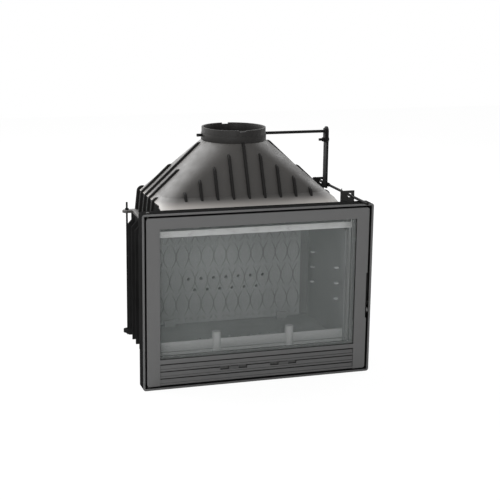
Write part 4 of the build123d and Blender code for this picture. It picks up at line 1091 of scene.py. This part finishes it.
# %% Side plates and linings
FIN_TIP = 308.5 * MM
FIN_FRONT = -130 * MM
FIN_GROWTH = 4.5 * MM
LEDGE_COLUMNS = (-73.5 * MM, 136.5 * MM)
LEDGE_ROWS = (203 * MM, 252 * MM, 301 * MM)
LEDGE_AREA = (19 * MM, 4 * MM)
LEDGE_SHRINK = (0.3, 0.65)
LEDGE_TIP = 283 * MM
LEDGE_GROWTH = 4 * MM


def grow_fin(place):
    """Move the tips of the fins outwards, as far as the tie rods."""
    if abs(place.x) > FIN_TIP and place.y > FIN_FRONT:
        place.x += math.copysign(FIN_GROWTH, place.x)


def slim_ledge(place):
    """Make the rack ledges shorter and thinner, and let them reach further out."""
    column = min(LEDGE_COLUMNS, key=lambda value: abs(value - place.y))
    row = min(LEDGE_ROWS, key=lambda value: abs(value - place.z))
    if abs(place.y - column) < LEDGE_AREA[0] and abs(place.z - row) < LEDGE_AREA[1]:
        place.y = column + (place.y - column) * LEDGE_SHRINK[0]
        place.z = row + (place.z - row) * LEDGE_SHRINK[1]
        if abs(place.x) < LEDGE_TIP:
            place.x -= math.copysign(LEDGE_GROWTH, place.x)


for name in ("left_side_plate", "right_side_plate"):
    softened(name, "stove", "raw_iron", CAST_EDGE, reshape=grow_fin)
for name in ("lining_left", "lining_right"):
    softened(name, "stove", "raw_iron", LINING_EDGE, reshape=slim_ledge)

# %% [markdown]
# ## Door and levers
# The door's frame is a casting with a soft rim.  The louvre band under it has three grooves, opened a
# little so that they read from afar.  Both levers are flat bars with rounded edges.

# %% Door and levers
GROOVE_FLOORS = (73.3 * MM, 52.0 * MM, 30.7 * MM)
GROOVE_OPENING = 1.4 * MM
FLOOR_REACH = 0.1 * MM


def open_groove(place):
    """Lower the floor of each louvre groove, so that it reads as a dark line."""
    if any(abs(place.z - floor_z) < FLOOR_REACH for floor_z in GROOVE_FLOORS):
        place.z -= GROOVE_OPENING


softened("door_frame", "door", "painted_iron", FRAME_EDGE)
softened("louvre_panel", "door", "painted_iron", LOUVRE_EDGE, segments=1, reshape=open_groove)
softened("damper_lever", "damper", "dark_steel", DAMPER_EDGE)
softened("latch_lever", "latch", "dark_steel", LATCH_EDGE)

# %% [markdown]
# ## Floor and light
# The studio is a pale floor and a white surround.  Camera, gloss and glass rays meet plain white, so that
# metal shows a bright room, while the light that shades the object comes from soft lamps at an ordinary
# level.  The floor keeps a share of its own shading, so the stove still casts a faint shadow.

# %% Floor
FLOOR_SIDE = 12.0
FLOOR_TONE = 0.9
WHITE_SHARE = 0.93
FLOOR_WHITE = 1.03


def white_ray(tree):
    """1 for the rays that should meet plain white: camera, gloss and glass."""
    path = tree.nodes.new("ShaderNodeLightPath")
    total = path.outputs["Is Camera Ray"]
    for name in ("Is Glossy Ray", "Is Transmission Ray"):
        add = tree.nodes.new("ShaderNodeMath")
        add.operation = "ADD"
        add.use_clamp = True
        tree.links.new(total, add.inputs[0])
        tree.links.new(path.outputs[name], add.inputs[1])
        total = add.outputs[0]
    return total


def studio_white(name, value):
    """A pale surface that takes shadows, and looks white where nothing shades it."""
    finish = Finish(name)
    finish.set({"Base Color": grey(value), "Roughness": 0.9})
    tree = finish.tree
    white = tree.nodes.new("ShaderNodeEmission")
    white.inputs["Strength"].default_value = FLOOR_WHITE
    mixed = tree.nodes.new("ShaderNodeMixShader")
    share = Wire(finish, white_ray(tree)) * WHITE_SHARE
    tree.links.new(share.socket, mixed.inputs[0])
    tree.links.new(finish.shader.outputs[0], mixed.inputs[1])
    tree.links.new(white.outputs[0], mixed.inputs[2])
    tree.links.new(mixed.outputs[0], finish.output.inputs["Surface"])
    return finish.material


floor_mesh = bpy.data.meshes.new("floor")
half = FLOOR_SIDE / 2
corners = [(-half, -half, 0), (half, -half, 0), (half, half, 0), (-half, half, 0)]
floor_mesh.from_pydata(corners, [], [(0, 1, 2, 3)])
floor = add_object("floor", floor_mesh)
dress(floor, studio_white("floor", FLOOR_TONE))
print("floor", FLOOR_SIDE, "m wide")

# %% Surround
SURROUND_LEVEL = 0.35
world = bpy.data.worlds.new("studio")
world.use_nodes = True
scene.world = world
sky = world.node_tree
sky.nodes.clear()
chosen = sky.nodes.new("ShaderNodeMixShader")
sky.links.new(white_ray(sky), chosen.inputs[0])
for socket, level in zip(chosen.inputs[1:], (SURROUND_LEVEL, 1.0)):
    white = sky.nodes.new("ShaderNodeBackground")
    white.inputs["Color"].default_value = (1, 1, 1, 1)
    white.inputs["Strength"].default_value = level
    sky.links.new(white.outputs[0], socket)
sky_output = sky.nodes.new("ShaderNodeOutputWorld")
sky.links.new(chosen.outputs[0], sky_output.inputs["Surface"])
print("surround at", SURROUND_LEVEL)

# %% [markdown]
# ## Lamps
# Four soft lamps, as in a studio: the high one from the rear left lights the hood's ledge and left slope,
# the one behind lifts the edges, the front one fills the door and the firebox, and the right one rims the
# hood.

# %% Lamps
def lamp(name, place, target, size, power):
    """A square soft lamp that points at a target and isn't seen by the camera."""
    data = bpy.data.lights.new(name, "AREA")
    data.shape = "SQUARE"
    data.size = size
    data.energy = power
    made = add_object(name, data)
    made.location = place
    direction = Vector(target) - Vector(place)
    made.rotation_euler = direction.to_track_quat("-Z", "Y").to_euler()
    made.visible_camera = False


lamp("back lamp", (-0.9, 3.4, 1.9), (0, 0, 0.6), 3.0, 60)
lamp("high lamp", (-1.8, 1.8, 3.2), (0, 0, 0.5), 3.2, 205)
lamp("front lamp", (-1.8, -3.4, 1.6), (0, 0, 0.3), 2.0, 56)
lamp("right lamp", (2.9, 1.8, 2.4), (0, 0, 0.5), 2.0, 60)
